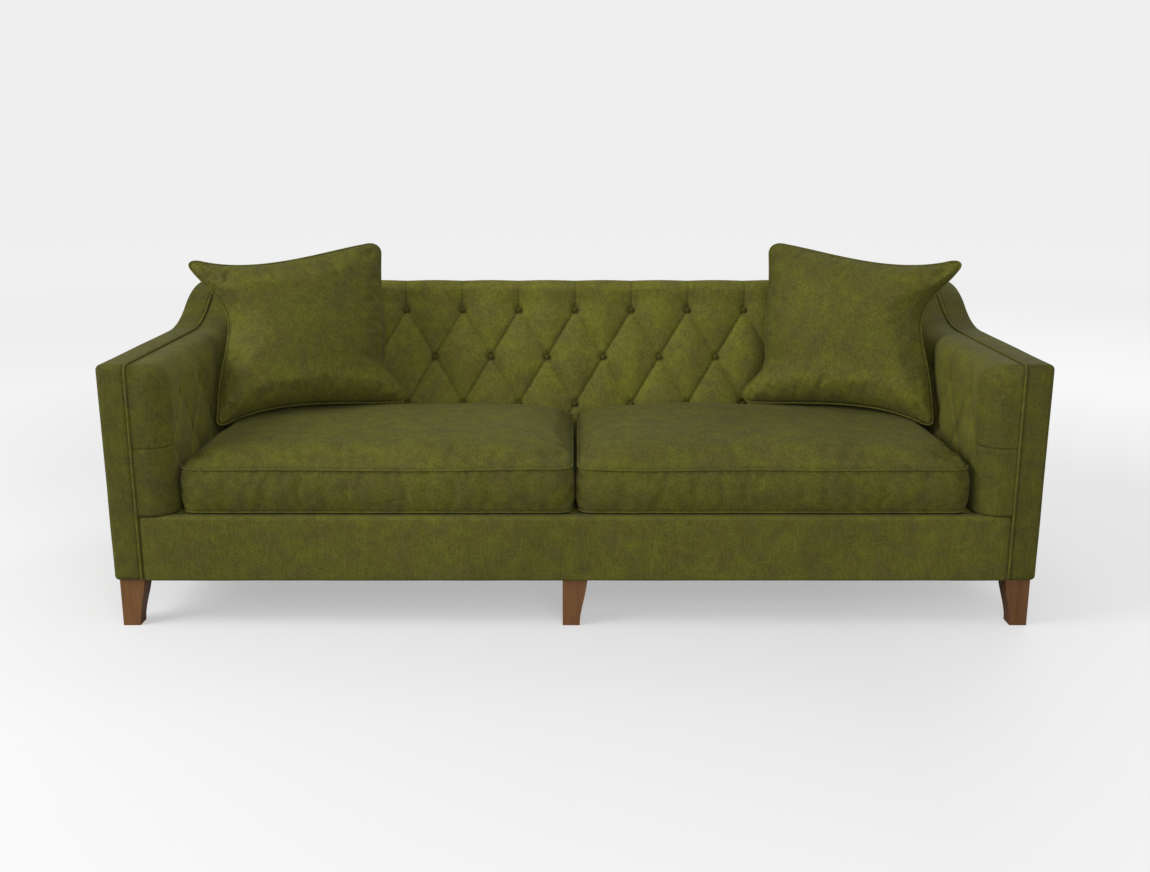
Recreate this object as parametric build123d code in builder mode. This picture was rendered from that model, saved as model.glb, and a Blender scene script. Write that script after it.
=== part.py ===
import math
import os

from build123d import *

# A four-seater sofa: a hardwood frame on six legs, plain outer arms and back with a flat border,
# deep-buttoned inside pads, two loose seat cushions and two loose scatter cushions.
# X runs along the length, -Y is the front, Z is up from the floor. Lengths are in millimetres.

# Overall envelope of the upholstered body
overall_width = 2400.0
overall_depth = 940.0
leg_height = 127.0
arm_height = 697.0
border_height = 801.0
clearance = 0.3

# Outside arms and back: a padded cover over the frame, with a flat border
cover_thickness = 8.0
arm_border = 70.0
back_border = 100.0
border_corner = 14.0
border_round = 9.0
scoop_run = 352.0
scoop_level = 4.0

# Piping cord along the inner edge of the border
piping_diameter = 6.0
piping_proud = 1.5
piping_gap = 0.15

# Hardwood frame
post_width = 80.0
rail_thickness = 28.0
arm_rail_depth = 80.0
top_rail_depth = 45.0
tack_rail_depth = 45.0
upright_width = 32.0
cross_rail_height = 110.0
corner_block_leg = 46.0
corner_block_height = 90.0

# Seat platform
seat_base_height = 175.0
front_border_thickness = 12.0
front_border_lip = 33.0
deck_thickness = 12.0
dust_cover_thickness = 2.0

# Sinuous springs and their clips
spring_wire = 3.8
spring_runs = 21
spring_straight = 28.0
clip_length = 16.0
clip_width = 12.0
clip_floor = 4.0
clip_roof = 2.0

# Webbing straps
webbing_width = 50.0
webbing_thickness = 2.0
arm_webbing_straps = 4

# Deep-buttoned pads: the pleats meet at the buttons and each diamond swells between them
arm_pad_thickness = 80.0
tuft_columns = 12
tuft_row_pitch = 143.0
tuft_top_drop = 75.0
tuft_swell = 26.0
pleat_rise = 8.0
pad_rake = 11.9
top_button_depth = 140.0
crest_proud = 11.0
button_radius = 10.0
button_height = 6.0
button_seat = 11.0
arm_swell = 22.0
arm_row_drop = 97.0
arm_row_pitch = 120.0
arm_first_button = 65.0
arm_front_flat = 60.0
arm_top_round = 42.0
arm_top_draw = 32.0

# Seat cushions
seat_thickness = 121.0
seat_crown = 42.0
seat_corner = 34.0
seat_front_setback = 15.0
seat_side_gap = 5.0
seat_middle_gap = 1.0
seat_lower_edge = 6.0
welt_diameter = 6.0
cover_skin = 3.0

# Scatter cushions
scatter_width = 580.0
scatter_height = 500.0
scatter_depth = 176.0
scatter_corner = 24.0
scatter_flare = 12.0
scatter_turn = 33.0
scatter_lean = 22.0
scatter_from_arm = 272.0
scatter_from_back = 148.0
scatter_above_deck = 387.2

# Legs: two straight outer faces, two inner faces drawn in towards the foot
leg_top = 65.0
leg_foot = 45.0
leg_inset = 11.0
leg_edge = 2.0
bolt_diameter = 8.0
bolt_in_leg = 45.0
bolt_in_frame = 24.0
insert_diameter = 12.0
insert_length = 25.0
bore_play = 0.2

# Planes and levels worked out from the sizes above
half_width = overall_width / 2
front_face = -overall_depth / 2
back_face = overall_depth / 2
body_base = leg_height
frame_base = body_base + dust_cover_thickness
deck_top = body_base + seat_base_height
deck_bottom = deck_top - deck_thickness
rail_top = deck_bottom - clearance - spring_wire - clip_floor
wire_level = rail_top + clip_floor + spring_wire / 2
clip_height = clip_floor + spring_wire + clip_roof
frame_side = half_width - arm_border
frame_front = front_face + front_border_thickness
frame_back = back_face - cover_thickness
back_plane = back_face - back_border
arm_face = frame_side - arm_pad_thickness
tuft_pitch = 2 * arm_face / tuft_columns
tuft_top_row = border_height - tuft_top_drop
back_crest = border_height + crest_proud
arm_upper_row = arm_height - arm_row_drop
arm_lower_row = arm_upper_row - arm_row_pitch
piping_radius = piping_diameter / 2
piping_slot = piping_diameter + 2 * piping_gap
pad_side = frame_side - piping_slot
pad_rear = back_plane - piping_slot - clearance
rail_middle_front = frame_front + rail_thickness / 2
rail_middle_back = frame_back - rail_thickness / 2


def save(name, part):
    """Labels a finished piece and writes it to its own file."""
    part.label = name
    export_step(part, f"parts/{name}.step")


def save_pair(name, part):
    """Writes the left-hand piece and its mirror image on the right."""
    with BuildPart() as right:
        mirror(part, about=Plane.YZ)
    save(f"left_{name}", part)
    save(f"right_{name}", right.part)


# The border rises from the arm to the back in two equal arcs, both level at their outer ends
scoop_rise = border_height - arm_height
scoop_radius = (scoop_run**2 + scoop_rise**2) / (4 * scoop_rise)
scoop_angle = 2 * math.atan2(scoop_rise, scoop_run)
scoop_end = back_face - border_corner - scoop_level
scoop_start = scoop_end - scoop_run


def low_arc(inset, angle):
    """Point on the hollow arc of the scoop, moved into the body by the inset."""
    radius = scoop_radius + inset
    centre_level = arm_height + scoop_radius
    return (scoop_start + radius * math.sin(angle), centre_level - radius * math.cos(angle))


def high_arc(inset, angle):
    """Point on the crown arc of the scoop, moved into the body by the inset."""
    radius = scoop_radius - inset
    centre_level = border_height - scoop_radius
    return (scoop_end - radius * math.sin(angle), centre_level + radius * math.cos(angle))


def scoop(inset):
    """Draws the two arcs of the scoop, moved into the body by the inset."""
    ThreePointArc(low_arc(inset, 0), low_arc(inset, scoop_angle / 2), low_arc(inset, scoop_angle))
    ThreePointArc(high_arc(inset, scoop_angle), high_arc(inset, scoop_angle / 2), high_arc(inset, 0))


def border_front(inset, base):
    """Draws the side outline up the front, round the front corner and along the top of the arm."""
    bend = border_corner - inset
    front = front_face + inset
    top = arm_height - inset
    Line((front, base), (front, top - bend))
    RadiusArc((front, top - bend), (front + bend, top), bend)
    Line((front + bend, top), low_arc(inset, 0))
    scoop(inset)


def border_outline(inset, base):
    """Draws the closed side outline of the body, moved in by the inset, down to the base level."""
    bend = border_corner - inset
    front = front_face + inset
    rear = back_face - inset
    border_front(inset, base)
    Line(high_arc(inset, 0), (rear - bend, border_height - inset))
    RadiusArc((rear - bend, border_height - inset), (rear, border_height - inset - bend), bend)
    Line((rear, border_height - inset - bend), (rear, base))
    Line((rear, base), (front, base))


def side_slab(inset, base, outer, inner):
    """A slab of the side outline on the left, between two distances from the middle."""
    with BuildPart() as slab:
        with BuildSketch(Plane.YZ.offset(-outer)):
            with BuildLine():
                border_outline(inset, base)
            make_face()
        extrude(amount=outer - inner)
    return slab.part


def box_between(low, high, mode=Mode.ADD):
    """A box from its lowest corner to its highest one."""
    size = [b - a for a, b in zip(low, high)]
    middle = tuple((a + b) / 2 for a, b in zip(low, high))
    with Locations(middle):
        Box(*size, mode=mode)


# Leg positions: the corner legs stand under the posts, the centre legs under the seat rails
leg_corner_x = half_width - leg_inset - leg_top / 2
leg_bolt_front = rail_middle_front
leg_bolt_back = -rail_middle_front
bolt_places = [
    (x, y)
    for x in (-leg_corner_x, 0, leg_corner_x)
    for y in (leg_bolt_front, leg_bolt_back)
]


def insert_bores():
    """Cuts the bores that take the insert nuts, up from the underside of the frame."""
    with Locations([(x, y, frame_base) for x, y in bolt_places]):
        Cylinder(
            insert_diameter / 2 + bore_play / 2,
            insert_length + bore_play,
            align=(Align.CENTER, Align.CENTER, Align.MIN),
            mode=Mode.SUBTRACT,
        )


os.makedirs("parts", exist_ok=True)

# Outside arms: a cover with an outer side, a front, a top and a back, open towards the pad
with BuildPart() as outside_arm:
    add(side_slab(0, body_base, half_width, frame_side))
    outer_side = outside_arm.faces().sort_by(Axis.X)[0]
    fillet(outer_side.edges().sort_by(Axis.Z)[1:], border_round)
    add(
        side_slab(cover_thickness, body_base - 1, half_width - cover_thickness, frame_side),
        mode=Mode.SUBTRACT,
    )
save_pair("outside_arm", outside_arm.part)

# Arm frames, inside the covers: front post, rear post, shaped arm rail and side seat rail
arm_frame_outer = half_width - cover_thickness
post_front = front_face + cover_thickness
front_post_end = post_front + post_width
rear_post_start = frame_back - post_width

with BuildPart() as front_post:
    add(side_slab(cover_thickness, frame_base, arm_frame_outer, frame_side))
    box_between(
        (-arm_frame_outer, post_front, frame_base),
        (-frame_side, front_post_end, arm_height),
        mode=Mode.INTERSECT,
    )
    insert_bores()
save_pair("front_post", front_post.part)

with BuildPart() as rear_post:
    add(side_slab(cover_thickness, frame_base, arm_frame_outer, frame_side))
    box_between(
        (-arm_frame_outer, rear_post_start, frame_base),
        (-frame_side, frame_back, border_height),
        mode=Mode.INTERSECT,
    )
    insert_bores()
save_pair("rear_post", rear_post.part)

arm_rail_top = cover_thickness
arm_rail_base = cover_thickness + arm_rail_depth
with BuildPart() as arm_rail:
    with BuildSketch(Plane.YZ.offset(-arm_frame_outer)):
        with BuildLine():
            Line((front_post_end, arm_height - arm_rail_top), low_arc(arm_rail_top, 0))
            scoop(arm_rail_top)
            Line(high_arc(arm_rail_top, 0), high_arc(arm_rail_base, 0))
            scoop(arm_rail_base)
            Polyline(
                low_arc(arm_rail_base, 0),
                (front_post_end, arm_height - arm_rail_base),
                (front_post_end, arm_height - arm_rail_top),
            )
        make_face()
    extrude(amount=arm_frame_outer - frame_side)
    box_between(
        (-arm_frame_outer, front_post_end, deck_top),
        (-frame_side, rear_post_start, border_height),
        mode=Mode.INTERSECT,
    )
save_pair("arm_rail", arm_rail.part)

with BuildPart() as side_rail:
    box_between(
        (-arm_frame_outer, front_post_end, frame_base),
        (-frame_side, rear_post_start, rail_top),
    )
save_pair("side_rail", side_rail.part)

# Seat frame between the arms: front and rear rail, two cross rails, glued corner blocks
with BuildPart() as front_seat_rail:
    box_between(
        (-frame_side, frame_front, frame_base),
        (frame_side, frame_front + rail_thickness, rail_top),
    )
    insert_bores()
save("front_seat_rail", front_seat_rail.part)

with BuildPart() as rear_seat_rail:
    box_between(
        (-frame_side, frame_back - rail_thickness, frame_base),
        (frame_side, frame_back, rail_top),
    )
    insert_bores()
save("rear_seat_rail", rear_seat_rail.part)

cross_rail_x = 2 * tuft_pitch
with BuildPart() as cross_rail:
    box_between(
        (-cross_rail_x - rail_thickness / 2, frame_front + rail_thickness, frame_base),
        (
            -cross_rail_x + rail_thickness / 2,
            frame_back - rail_thickness,
            frame_base + cross_rail_height,
        ),
    )
save_pair("cross_rail", cross_rail.part)

with BuildPart() as corner_blocks:
    with BuildSketch(Plane.XY.offset(frame_base)):
        for side in (-1, 1):
            for y, inward in ((frame_front + rail_thickness, 1), (frame_back - rail_thickness, -1)):
                with BuildLine():
                    Polyline(
                        (side * frame_side, y),
                        (side * (frame_side - corner_block_leg), y),
                        (side * frame_side, y + inward * corner_block_leg),
                        close=True,
                    )
                make_face()
    extrude(amount=corner_block_height)
save("corner_blocks", corner_blocks.part)

# Back frame: top rail, tack rail and three uprights standing on the rear seat rail
top_rail_top = border_height - cover_thickness
top_rail_base = top_rail_top - top_rail_depth
with BuildPart() as back_top_rail:
    box_between((-frame_side, back_plane, top_rail_base), (frame_side, frame_back, top_rail_top))
save("back_top_rail", back_top_rail.part)

with BuildPart() as back_tack_rail:
    box_between(
        (-frame_side, back_plane, deck_top),
        (frame_side, back_plane + rail_thickness, deck_top + tack_rail_depth),
    )
save("back_tack_rail", back_tack_rail.part)

for name, column in (("left", -4), ("centre", 0), ("right", 4)):
    with BuildPart() as upright:
        box_between(
            (column * tuft_pitch - upright_width / 2, back_plane + rail_thickness, rail_top),
            (column * tuft_pitch + upright_width / 2, frame_back, top_rail_base),
        )
    save(f"{name}_back_upright", upright.part)

# Sinuous springs: level zigzags of wire from the front rail to the rear rail, each end in a clip
spring_step = (rail_middle_back - rail_middle_front) / (spring_runs - 1)
spring_bend = spring_step / 2
spring_places = [((column + 0.5) * tuft_pitch, 0) for column in range(-6, 6)]

with BuildPart() as spring:
    with BuildLine(Plane.XY.offset(wire_level)) as zigzag:
        for run in range(spring_runs):
            way = 1 if run % 2 == 0 else -1
            y = rail_middle_front + run * spring_step
            end = way * spring_straight / 2
            Line((-end, y), (end, y))
            if run < spring_runs - 1:
                turn = (end + way * spring_bend, y + spring_bend)
                RadiusArc((end, y), turn, -way * spring_bend)
                RadiusArc(turn, (end, y + spring_step), -way * spring_bend)
    with BuildSketch(Plane(zigzag.line @ 0, z_dir=zigzag.line % 0)):
        Circle(spring_wire / 2)
    sweep(path=zigzag.wires()[0])
with BuildPart() as seat_springs:
    with Locations(spring_places):
        add(spring.part)
save("seat_springs", seat_springs.part)

with BuildPart() as spring_clips:
    for y in (rail_middle_front, rail_middle_back):
        with Locations([(x, y, rail_top) for x, _ in spring_places]):
            Box(clip_length, clip_width, clip_height, align=(Align.CENTER, Align.CENTER, Align.MIN))
        with Locations([(x, y, wire_level) for x, _ in spring_places]):
            Cylinder(
                (spring_wire + bore_play) / 2,
                clip_length,
                rotation=(0, 90, 0),
                mode=Mode.SUBTRACT,
            )
save("spring_clips", spring_clips.part)

# Seat deck on the springs, dust cover under the frame, padded front border over the front rail
with BuildPart() as seat_deck:
    deck_side = frame_side - webbing_thickness - clearance
    box_between(
        (-deck_side, frame_front + front_border_lip, deck_bottom),
        (deck_side, back_plane - webbing_thickness - clearance, deck_top),
    )
save("seat_deck", seat_deck.part)

with BuildPart() as dust_cover:
    box_between(
        (-arm_frame_outer, frame_front, body_base),
        (arm_frame_outer, frame_back, frame_base),
    )
    with Locations([(x, y, body_base) for x, y in bolt_places]):
        Cylinder((bolt_diameter + bore_play) / 2, 4 * dust_cover_thickness, mode=Mode.SUBTRACT)
save("dust_cover", dust_cover.part)

with BuildPart() as front_border:
    lip_bottom = rail_top + clip_height + clearance
    box_between((-pad_side, front_face, body_base), (pad_side, frame_front, deck_top))
    box_between(
        (-pad_side, frame_front, lip_bottom),
        (pad_side, frame_front + front_border_lip, deck_top),
    )
    front_edges = front_border.faces().sort_by(Axis.Y)[0].edges().filter_by(Axis.X)
    fillet(front_edges, border_round)
save("front_border", front_border.part)

# Webbing: upright straps on the front of the back frame and on the inside of each arm frame
with BuildPart() as back_webbing:
    for x, _ in spring_places:
        box_between(
            (x - webbing_width / 2, back_plane - webbing_thickness, deck_top),
            (x + webbing_width / 2, back_plane, top_rail_top),
        )
save("back_webbing", back_webbing.part)

with BuildPart() as arm_webbing:
    strap_step = (rear_post_start - front_post_end) / (arm_webbing_straps + 1)
    strap_top = arm_height - cover_thickness - arm_rail_depth / 2
    for strap in range(1, arm_webbing_straps + 1):
        y = front_post_end + strap * strap_step
        box_between(
            (-frame_side, y - webbing_width / 2, rail_top - webbing_width),
            (-frame_side + webbing_thickness, y + webbing_width / 2, strap_top),
        )
save_pair("arm_webbing", arm_webbing.part)

# Outside back: the plain rear panel, turned over the top of the frame as a flat border
with BuildPart() as outside_back:
    with BuildSketch(Plane.YZ):
        with BuildLine():
            inner_top = border_height - cover_thickness
            Line((back_face, body_base), (back_face, border_height - border_corner))
            RadiusArc(
                (back_face, border_height - border_corner),
                (back_face - border_corner, border_height),
                -border_corner,
            )
            Polyline(
                (back_face - border_corner, border_height),
                (back_plane, border_height),
                (back_plane, inner_top),
                (frame_back, inner_top),
                (frame_back, body_base),
                (back_face, body_base),
            )
        make_face()
    extrude(amount=frame_side, both=True)
save("outside_back", outside_back.part)

# Piping cords: up the front and along the top of each arm, and along the back border
piping_inset = piping_radius - piping_proud
with BuildPart() as arm_piping:
    cord_x = frame_side - piping_gap - piping_radius
    with BuildLine(Plane.YZ.offset(-cord_x)) as cord:
        border_front(piping_inset, body_base)
    with BuildSketch(Plane(cord.line @ 0, z_dir=cord.line % 0)):
        Circle(piping_radius)
    sweep(path=cord.wires()[0])
    box_between(
        (-half_width, front_face - piping_diameter, body_base),
        (0, pad_rear, border_height + piping_diameter),
        mode=Mode.INTERSECT,
    )
save_pair("arm_piping", arm_piping.part)

with BuildPart() as back_piping:
    cord_y = back_plane - piping_gap - piping_radius
    with Locations((0, cord_y, border_height - piping_inset)):
        Cylinder(piping_radius, 2 * pad_side, rotation=(0, 90, 0))
save("back_piping", back_piping.part)


def scallops(points, swells, outward):
    """Draws one arc between each two points, swelling outwards, or a line where it doesn't swell."""
    for start, end, swell in zip(points, points[1:], swells):
        if swell == 0:
            Line(start, end)
            continue
        middle = tuple((a + b) / 2 + swell * way for a, b, way in zip(start, end, outward))
        ThreePointArc(start, middle, end)


def pleat_places(first, pitch, count, row):
    """Places of the pleats along a pad at a level: gathered in pairs at the buttons of an even or
    odd row, or evenly spread half way between two rows."""
    places = []
    for pleat in range(count):
        left = first + pleat * pitch / 2
        right = left + pitch / 2
        if row == "between":
            places.append((left + right) / 2)
        elif (pleat % 2 == 0) == (row == "even"):
            places.append(left + button_seat)
        else:
            places.append(right - button_seat)
    return places


def pleat_depth(level):
    """Distance of the back pleats from the middle plane: the pad leans back as it rises."""
    top = back_face - top_button_depth
    return top + (level - tuft_top_row) * math.tan(math.radians(pad_rake))


def swells_for(points, along, swell):
    """Swell of each diamond, in step with its width, and none on the flat button seats."""
    result = []
    for start, end in zip(points, points[1:]):
        width = abs(end[along] - start[along])
        result.append(0 if width < 2.5 * button_seat else swell * min(width / tuft_pitch, 1.0) ** 0.5)
    return result


# Inside back: a leaning pad of button rows, drawn as level sections from the deck to the crest
tuft_rows = [tuft_top_row - row * tuft_row_pitch for row in range(3)]
crest_rise = back_crest - tuft_top_row


def back_levels():
    """Level, row kind, pleat depth, swell and rear plane of each section, from the deck upwards."""
    rear = back_plane - webbing_thickness
    levels = [(deck_top, "odd", pleat_depth(deck_top), tuft_swell / 2, rear)]
    for row, kind in reversed(list(zip(tuft_rows, ("even", "odd", "even")))):
        below = row - tuft_row_pitch / 2
        levels.append((below, "between", pleat_depth(below) - pleat_rise, tuft_swell, rear))
        for level in (row - button_seat, row + button_seat):
            levels.append((level, kind, pleat_depth(row), tuft_swell, rear))
    upper = tuft_top_row + crest_rise * 0.55
    levels.append((upper, "even", pleat_depth(upper) - pleat_rise, tuft_swell, rear))
    upper = border_height - piping_inset - piping_radius - clearance
    levels.append((upper, "even", pleat_depth(upper) - pleat_rise / 4, tuft_swell * 0.7, pad_rear))
    levels.append((back_crest, "even", pleat_depth(back_crest) + pleat_rise, tuft_swell * 0.4, pad_rear))
    return levels


back_side = arm_face - clearance
with BuildPart() as inside_back:
    for level, kind, depth, swell, rear in back_levels():
        pleats = pleat_places(-arm_face, tuft_pitch, 2 * tuft_columns, kind)
        points = [(x, depth) for x in (-back_side, *pleats, back_side)]
        with BuildSketch(Plane.XY.offset(level)):
            with BuildLine():
                scallops(points, swells_for(points, 0, swell), (0, -1))
                Polyline(points[-1], (back_side, rear), (-back_side, rear), points[0])
            make_face()
    loft(ruled=True)
save("inside_back", inside_back.part)

with BuildPart() as back_buttons:
    for row, kind in zip(tuft_rows, ("even", "odd", "even")):
        count = tuft_columns - 1 if kind == "even" else tuft_columns
        first = -(count - 1) / 2 * tuft_pitch
        with BuildSketch(Plane.XZ.offset(-pleat_depth(row))):
            with Locations([(first + column * tuft_pitch, row) for column in range(count)]):
                Circle(button_radius)
    extrude(amount=button_height)
    fillet(back_buttons.faces().filter_by(Axis.Y).sort_by(Axis.Y)[0].edges(), button_height / 3)
save("back_buttons", back_buttons.part)


# Inside arms: a pad with two button rows, a rounded front and top, and a stretch up the scoop
scoop_inset = 2.0
arm_front = front_face + 1.0
arm_first = front_face + arm_first_button
arm_pleats = 7
arm_shoulder = (-(arm_face + arm_front_flat / 3), arm_front)


def arm_chain(level, kind, draw_back):
    """Points along the inner face of the left pad at a level, from the front to the back pad."""
    face = -(arm_face + draw_back)
    end = pleat_depth(level) - tuft_swell - pleat_rise - 2 * clearance
    shoulder = (arm_shoulder[0] - draw_back, arm_shoulder[1])
    pleats = pleat_places(arm_first, tuft_pitch, arm_pleats, kind)
    lead = {
        "even": (face, arm_first - button_seat),
        "between": (face - arm_front_flat / 6, arm_first - tuft_pitch / 4),
        "odd": (shoulder[0] + arm_front_flat / 10, shoulder[1] + arm_front_flat / 10),
    }[kind]
    return [shoulder, lead, *[(face, y) for y in pleats], (face, end)]


def arm_levels():
    """Level, row kind, draw-back and swell of each section of the left pad, from the deck upwards."""
    between = (arm_lower_row + arm_upper_row) / 2
    levels = [(deck_top, "even", 0, arm_swell)]
    for level in (arm_lower_row - button_seat, arm_lower_row + button_seat):
        levels.append((level, "even", 0, arm_swell))
    levels.append((between, "between", 0, arm_swell))
    for level in (arm_upper_row - button_seat, arm_upper_row + button_seat):
        levels.append((level, "odd", 0, arm_swell))
    levels.append((arm_height - arm_top_round, "odd", 0, arm_swell * 0.8))
    levels.append((arm_height - arm_top_round * 0.4, "odd", arm_top_draw * 0.3, arm_swell * 0.6))
    levels.append((arm_height - scoop_inset, "odd", arm_top_draw, arm_swell * 0.4))
    return levels


with BuildPart() as inside_arm:
    for level, kind, draw_back, swell in arm_levels():
        points = arm_chain(level, kind, draw_back)
        with BuildSketch(Plane.XY.offset(level)):
            with BuildLine():
                scallops(points, swells_for(points, 1, swell), (1, 0))
                Polyline(points[-1], (points[-1][0], pad_rear), (-pad_side, pad_rear))
                Polyline((-pad_side, pad_rear), (-pad_side, arm_front), points[0])
            make_face()
    loft(ruled=True)
    with BuildSketch(Plane.YZ.offset(-pad_side)):
        with BuildLine():
            Line((scoop_start, arm_upper_row), low_arc(scoop_inset, 0))
            scoop(scoop_inset)
            Polyline(
                high_arc(scoop_inset, 0),
                (scoop_end, arm_upper_row),
                (scoop_start, arm_upper_row),
            )
        make_face()
    extrude(amount=pad_side - arm_face - arm_top_draw)
    rim = piping_inset + piping_radius + clearance
    with BuildSketch(Plane.YZ.offset(-frame_side + webbing_thickness)):
        with BuildLine():
            border_outline(rim, deck_top)
        make_face()
    extrude(amount=pad_side - arm_face - webbing_thickness)
    box_between((-frame_side, arm_front, deck_top), (0, pad_rear, border_height), mode=Mode.INTERSECT)
save_pair("inside_arm", inside_arm.part)

with BuildPart() as arm_buttons:
    for row, first in ((arm_lower_row, arm_first), (arm_upper_row, arm_first + tuft_pitch / 2)):
        with BuildSketch(Plane.YZ.offset(-arm_face)):
            with Locations([(first + column * tuft_pitch, row) for column in range(3)]):
                Circle(button_radius)
    extrude(amount=button_height)
    fillet(arm_buttons.faces().filter_by(Axis.X).group_by(Axis.X)[-1].edges(), button_height / 3)
save_pair("arm_buttons", arm_buttons.part)


def cushion_outline(length, width, corner, flare):
    """Draws a cushion outline: four sides drawn in between the corners, and rounded corners that
    meet them without a kink. The flare is the angle at which the sides run out to the corners."""
    half_length = length / 2
    half_depth = width / 2
    angle = math.radians(flare)
    reach = corner * (math.cos(angle) + math.sin(angle))
    hub = corner * math.sin(angle) - reach
    lift = corner * math.cos(angle)
    tip = corner * math.sin(math.pi / 4)
    pull = math.tan(angle / 2)
    long_side = half_length - reach
    short_side = half_depth - reach
    for way in (1, -1):
        ThreePointArc(
            (-way * long_side, -way * half_depth),
            (0, -way * (half_depth - pull * long_side)),
            (way * long_side, -way * half_depth),
        )
        ThreePointArc(
            (way * long_side, -way * half_depth),
            (way * (half_length + hub + tip), -way * (half_depth - lift + tip)),
            (way * half_length, -way * short_side),
        )
        ThreePointArc(
            (way * half_length, -way * short_side),
            (way * (half_length - pull * short_side), 0),
            (way * half_length, way * short_side),
        )
        ThreePointArc(
            (way * half_length, way * short_side),
            (way * (half_length - lift + tip), way * (half_depth + hub + tip)),
            (way * long_side, way * half_depth),
        )


def cushion_loft(plane, sections, ruled):
    """Lofts a cushion form through outlines, each a height above the plane and its sizes."""
    with BuildPart() as form:
        for height, length, width, corner, flare in sections:
            with BuildSketch(plane.offset(height)):
                with BuildLine():
                    cushion_outline(length, width, corner, flare)
                make_face()
        loft(ruled=ruled)
    return form.part


def cord_round(plane, length, width, corner, flare, diameter):
    """A sewn cord just outside a cushion outline."""
    with BuildPart() as cord:
        reach = diameter + 4 * clearance
        with BuildLine(plane) as path:
            cushion_outline(length + reach, width + reach, corner + reach / 2, flare)
        with BuildSketch(Plane(path.line @ 0, z_dir=path.line % 0)):
            Circle(diameter / 2)
        sweep(path=path.wires()[0])
    return cord.part


# Seat cushions: a box cushion with a crowned top, its foam core and the welt along its seams
seat_outer = arm_face - arm_swell - seat_side_gap - welt_diameter
seat_inner = seat_middle_gap + welt_diameter
seat_front = front_face + seat_front_setback + welt_diameter
seat_rear = pleat_depth(deck_top) - tuft_swell / 2 - clearance - welt_diameter - seat_middle_gap
seat_length = seat_outer - seat_inner
seat_depth = seat_rear - seat_front
seat_middle = ((seat_inner + seat_outer) / -2, (seat_front + seat_rear) / 2, deck_top + clearance)
seat_plane = Plane(seat_middle)
seat_flare = 0.5
crown_steps = ((0, 0), (0.45, 0.06), (0.78, 0.17), (1, 0.34))


def seat_form(skin):
    """The cushion form, all of its faces moved in by the skin."""

    def section(height, inset):
        trim = 2 * (inset + skin)
        return (height, seat_length - trim, seat_depth - trim, seat_corner, seat_flare)

    seam = seat_thickness - skin
    box = [section(skin, seat_lower_edge), section(seat_lower_edge + skin, 0), section(seam, 0)]
    crown = [section(seam + rise * seat_crown, inset * seat_depth) for rise, inset in crown_steps]
    with BuildPart() as form:
        add(cushion_loft(seat_plane, box, True))
        add(cushion_loft(seat_plane, crown, False))
    return form.part


with BuildPart() as seat_cover:
    add(seat_form(0))
    add(seat_form(cover_skin), mode=Mode.SUBTRACT)
save_pair("seat_cushion_cover", seat_cover.part)

with BuildPart() as seat_core:
    add(seat_form(cover_skin + clearance))
save_pair("seat_cushion_core", seat_core.part)

with BuildPart() as seat_welt:
    for level in (seat_lower_edge + welt_diameter / 2, seat_thickness - welt_diameter / 2):
        seam = seat_plane.offset(level)
        add(cord_round(seam, seat_length, seat_depth, seat_corner, seat_flare, welt_diameter))
save_pair("seat_cushion_welt", seat_welt.part)

# Scatter cushions: a pillow with flared corners, standing on the seat and leaning into the corner
turn = math.radians(scatter_turn)
lean = math.radians(scatter_lean)
scatter_middle = (
    scatter_from_arm - arm_face,
    pleat_depth(deck_top) - scatter_from_back,
    deck_top + scatter_above_deck,
)
scatter_plane = Plane(
    origin=scatter_middle,
    x_dir=(math.cos(turn), math.sin(turn), 0),
    z_dir=(math.sin(turn) * math.cos(lean), -math.cos(turn) * math.cos(lean), math.sin(lean)),
)
pillow_steps = ((0, 0, 1, 1), (0.45, 30, 2, 0.6), (0.8, 78, 3.2, 0.25), (1, 150, 3.6, 0.05))


def scatter_form(skin):
    """The pillow, as a front and a rear half that meet at the seam, moved in by the skin."""
    with BuildPart() as form:
        for way in (1, -1):
            sections = []
            for rise, inset, corner, flare in pillow_steps:
                trim = 2 * (inset + skin)
                height = rise * (scatter_depth / 2 - skin)
                sections.append(
                    (
                        way * height,
                        scatter_width - trim,
                        scatter_height - trim,
                        scatter_corner * corner,
                        scatter_flare * flare,
                    )
                )
            add(cushion_loft(scatter_plane, sections, False))
    return form.part


with BuildPart() as scatter_cover:
    add(scatter_form(0))
    add(scatter_form(cover_skin), mode=Mode.SUBTRACT)
save_pair("scatter_cushion_cover", scatter_cover.part)

with BuildPart() as scatter_pad:
    add(scatter_form(cover_skin + clearance))
save_pair("scatter_cushion_pad", scatter_pad.part)

with BuildPart() as scatter_piping:
    add(
        cord_round(
            scatter_plane,
            scatter_width,
            scatter_height,
            scatter_corner,
            scatter_flare,
            welt_diameter,
        )
    )
save_pair("scatter_cushion_piping", scatter_piping.part)

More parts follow.
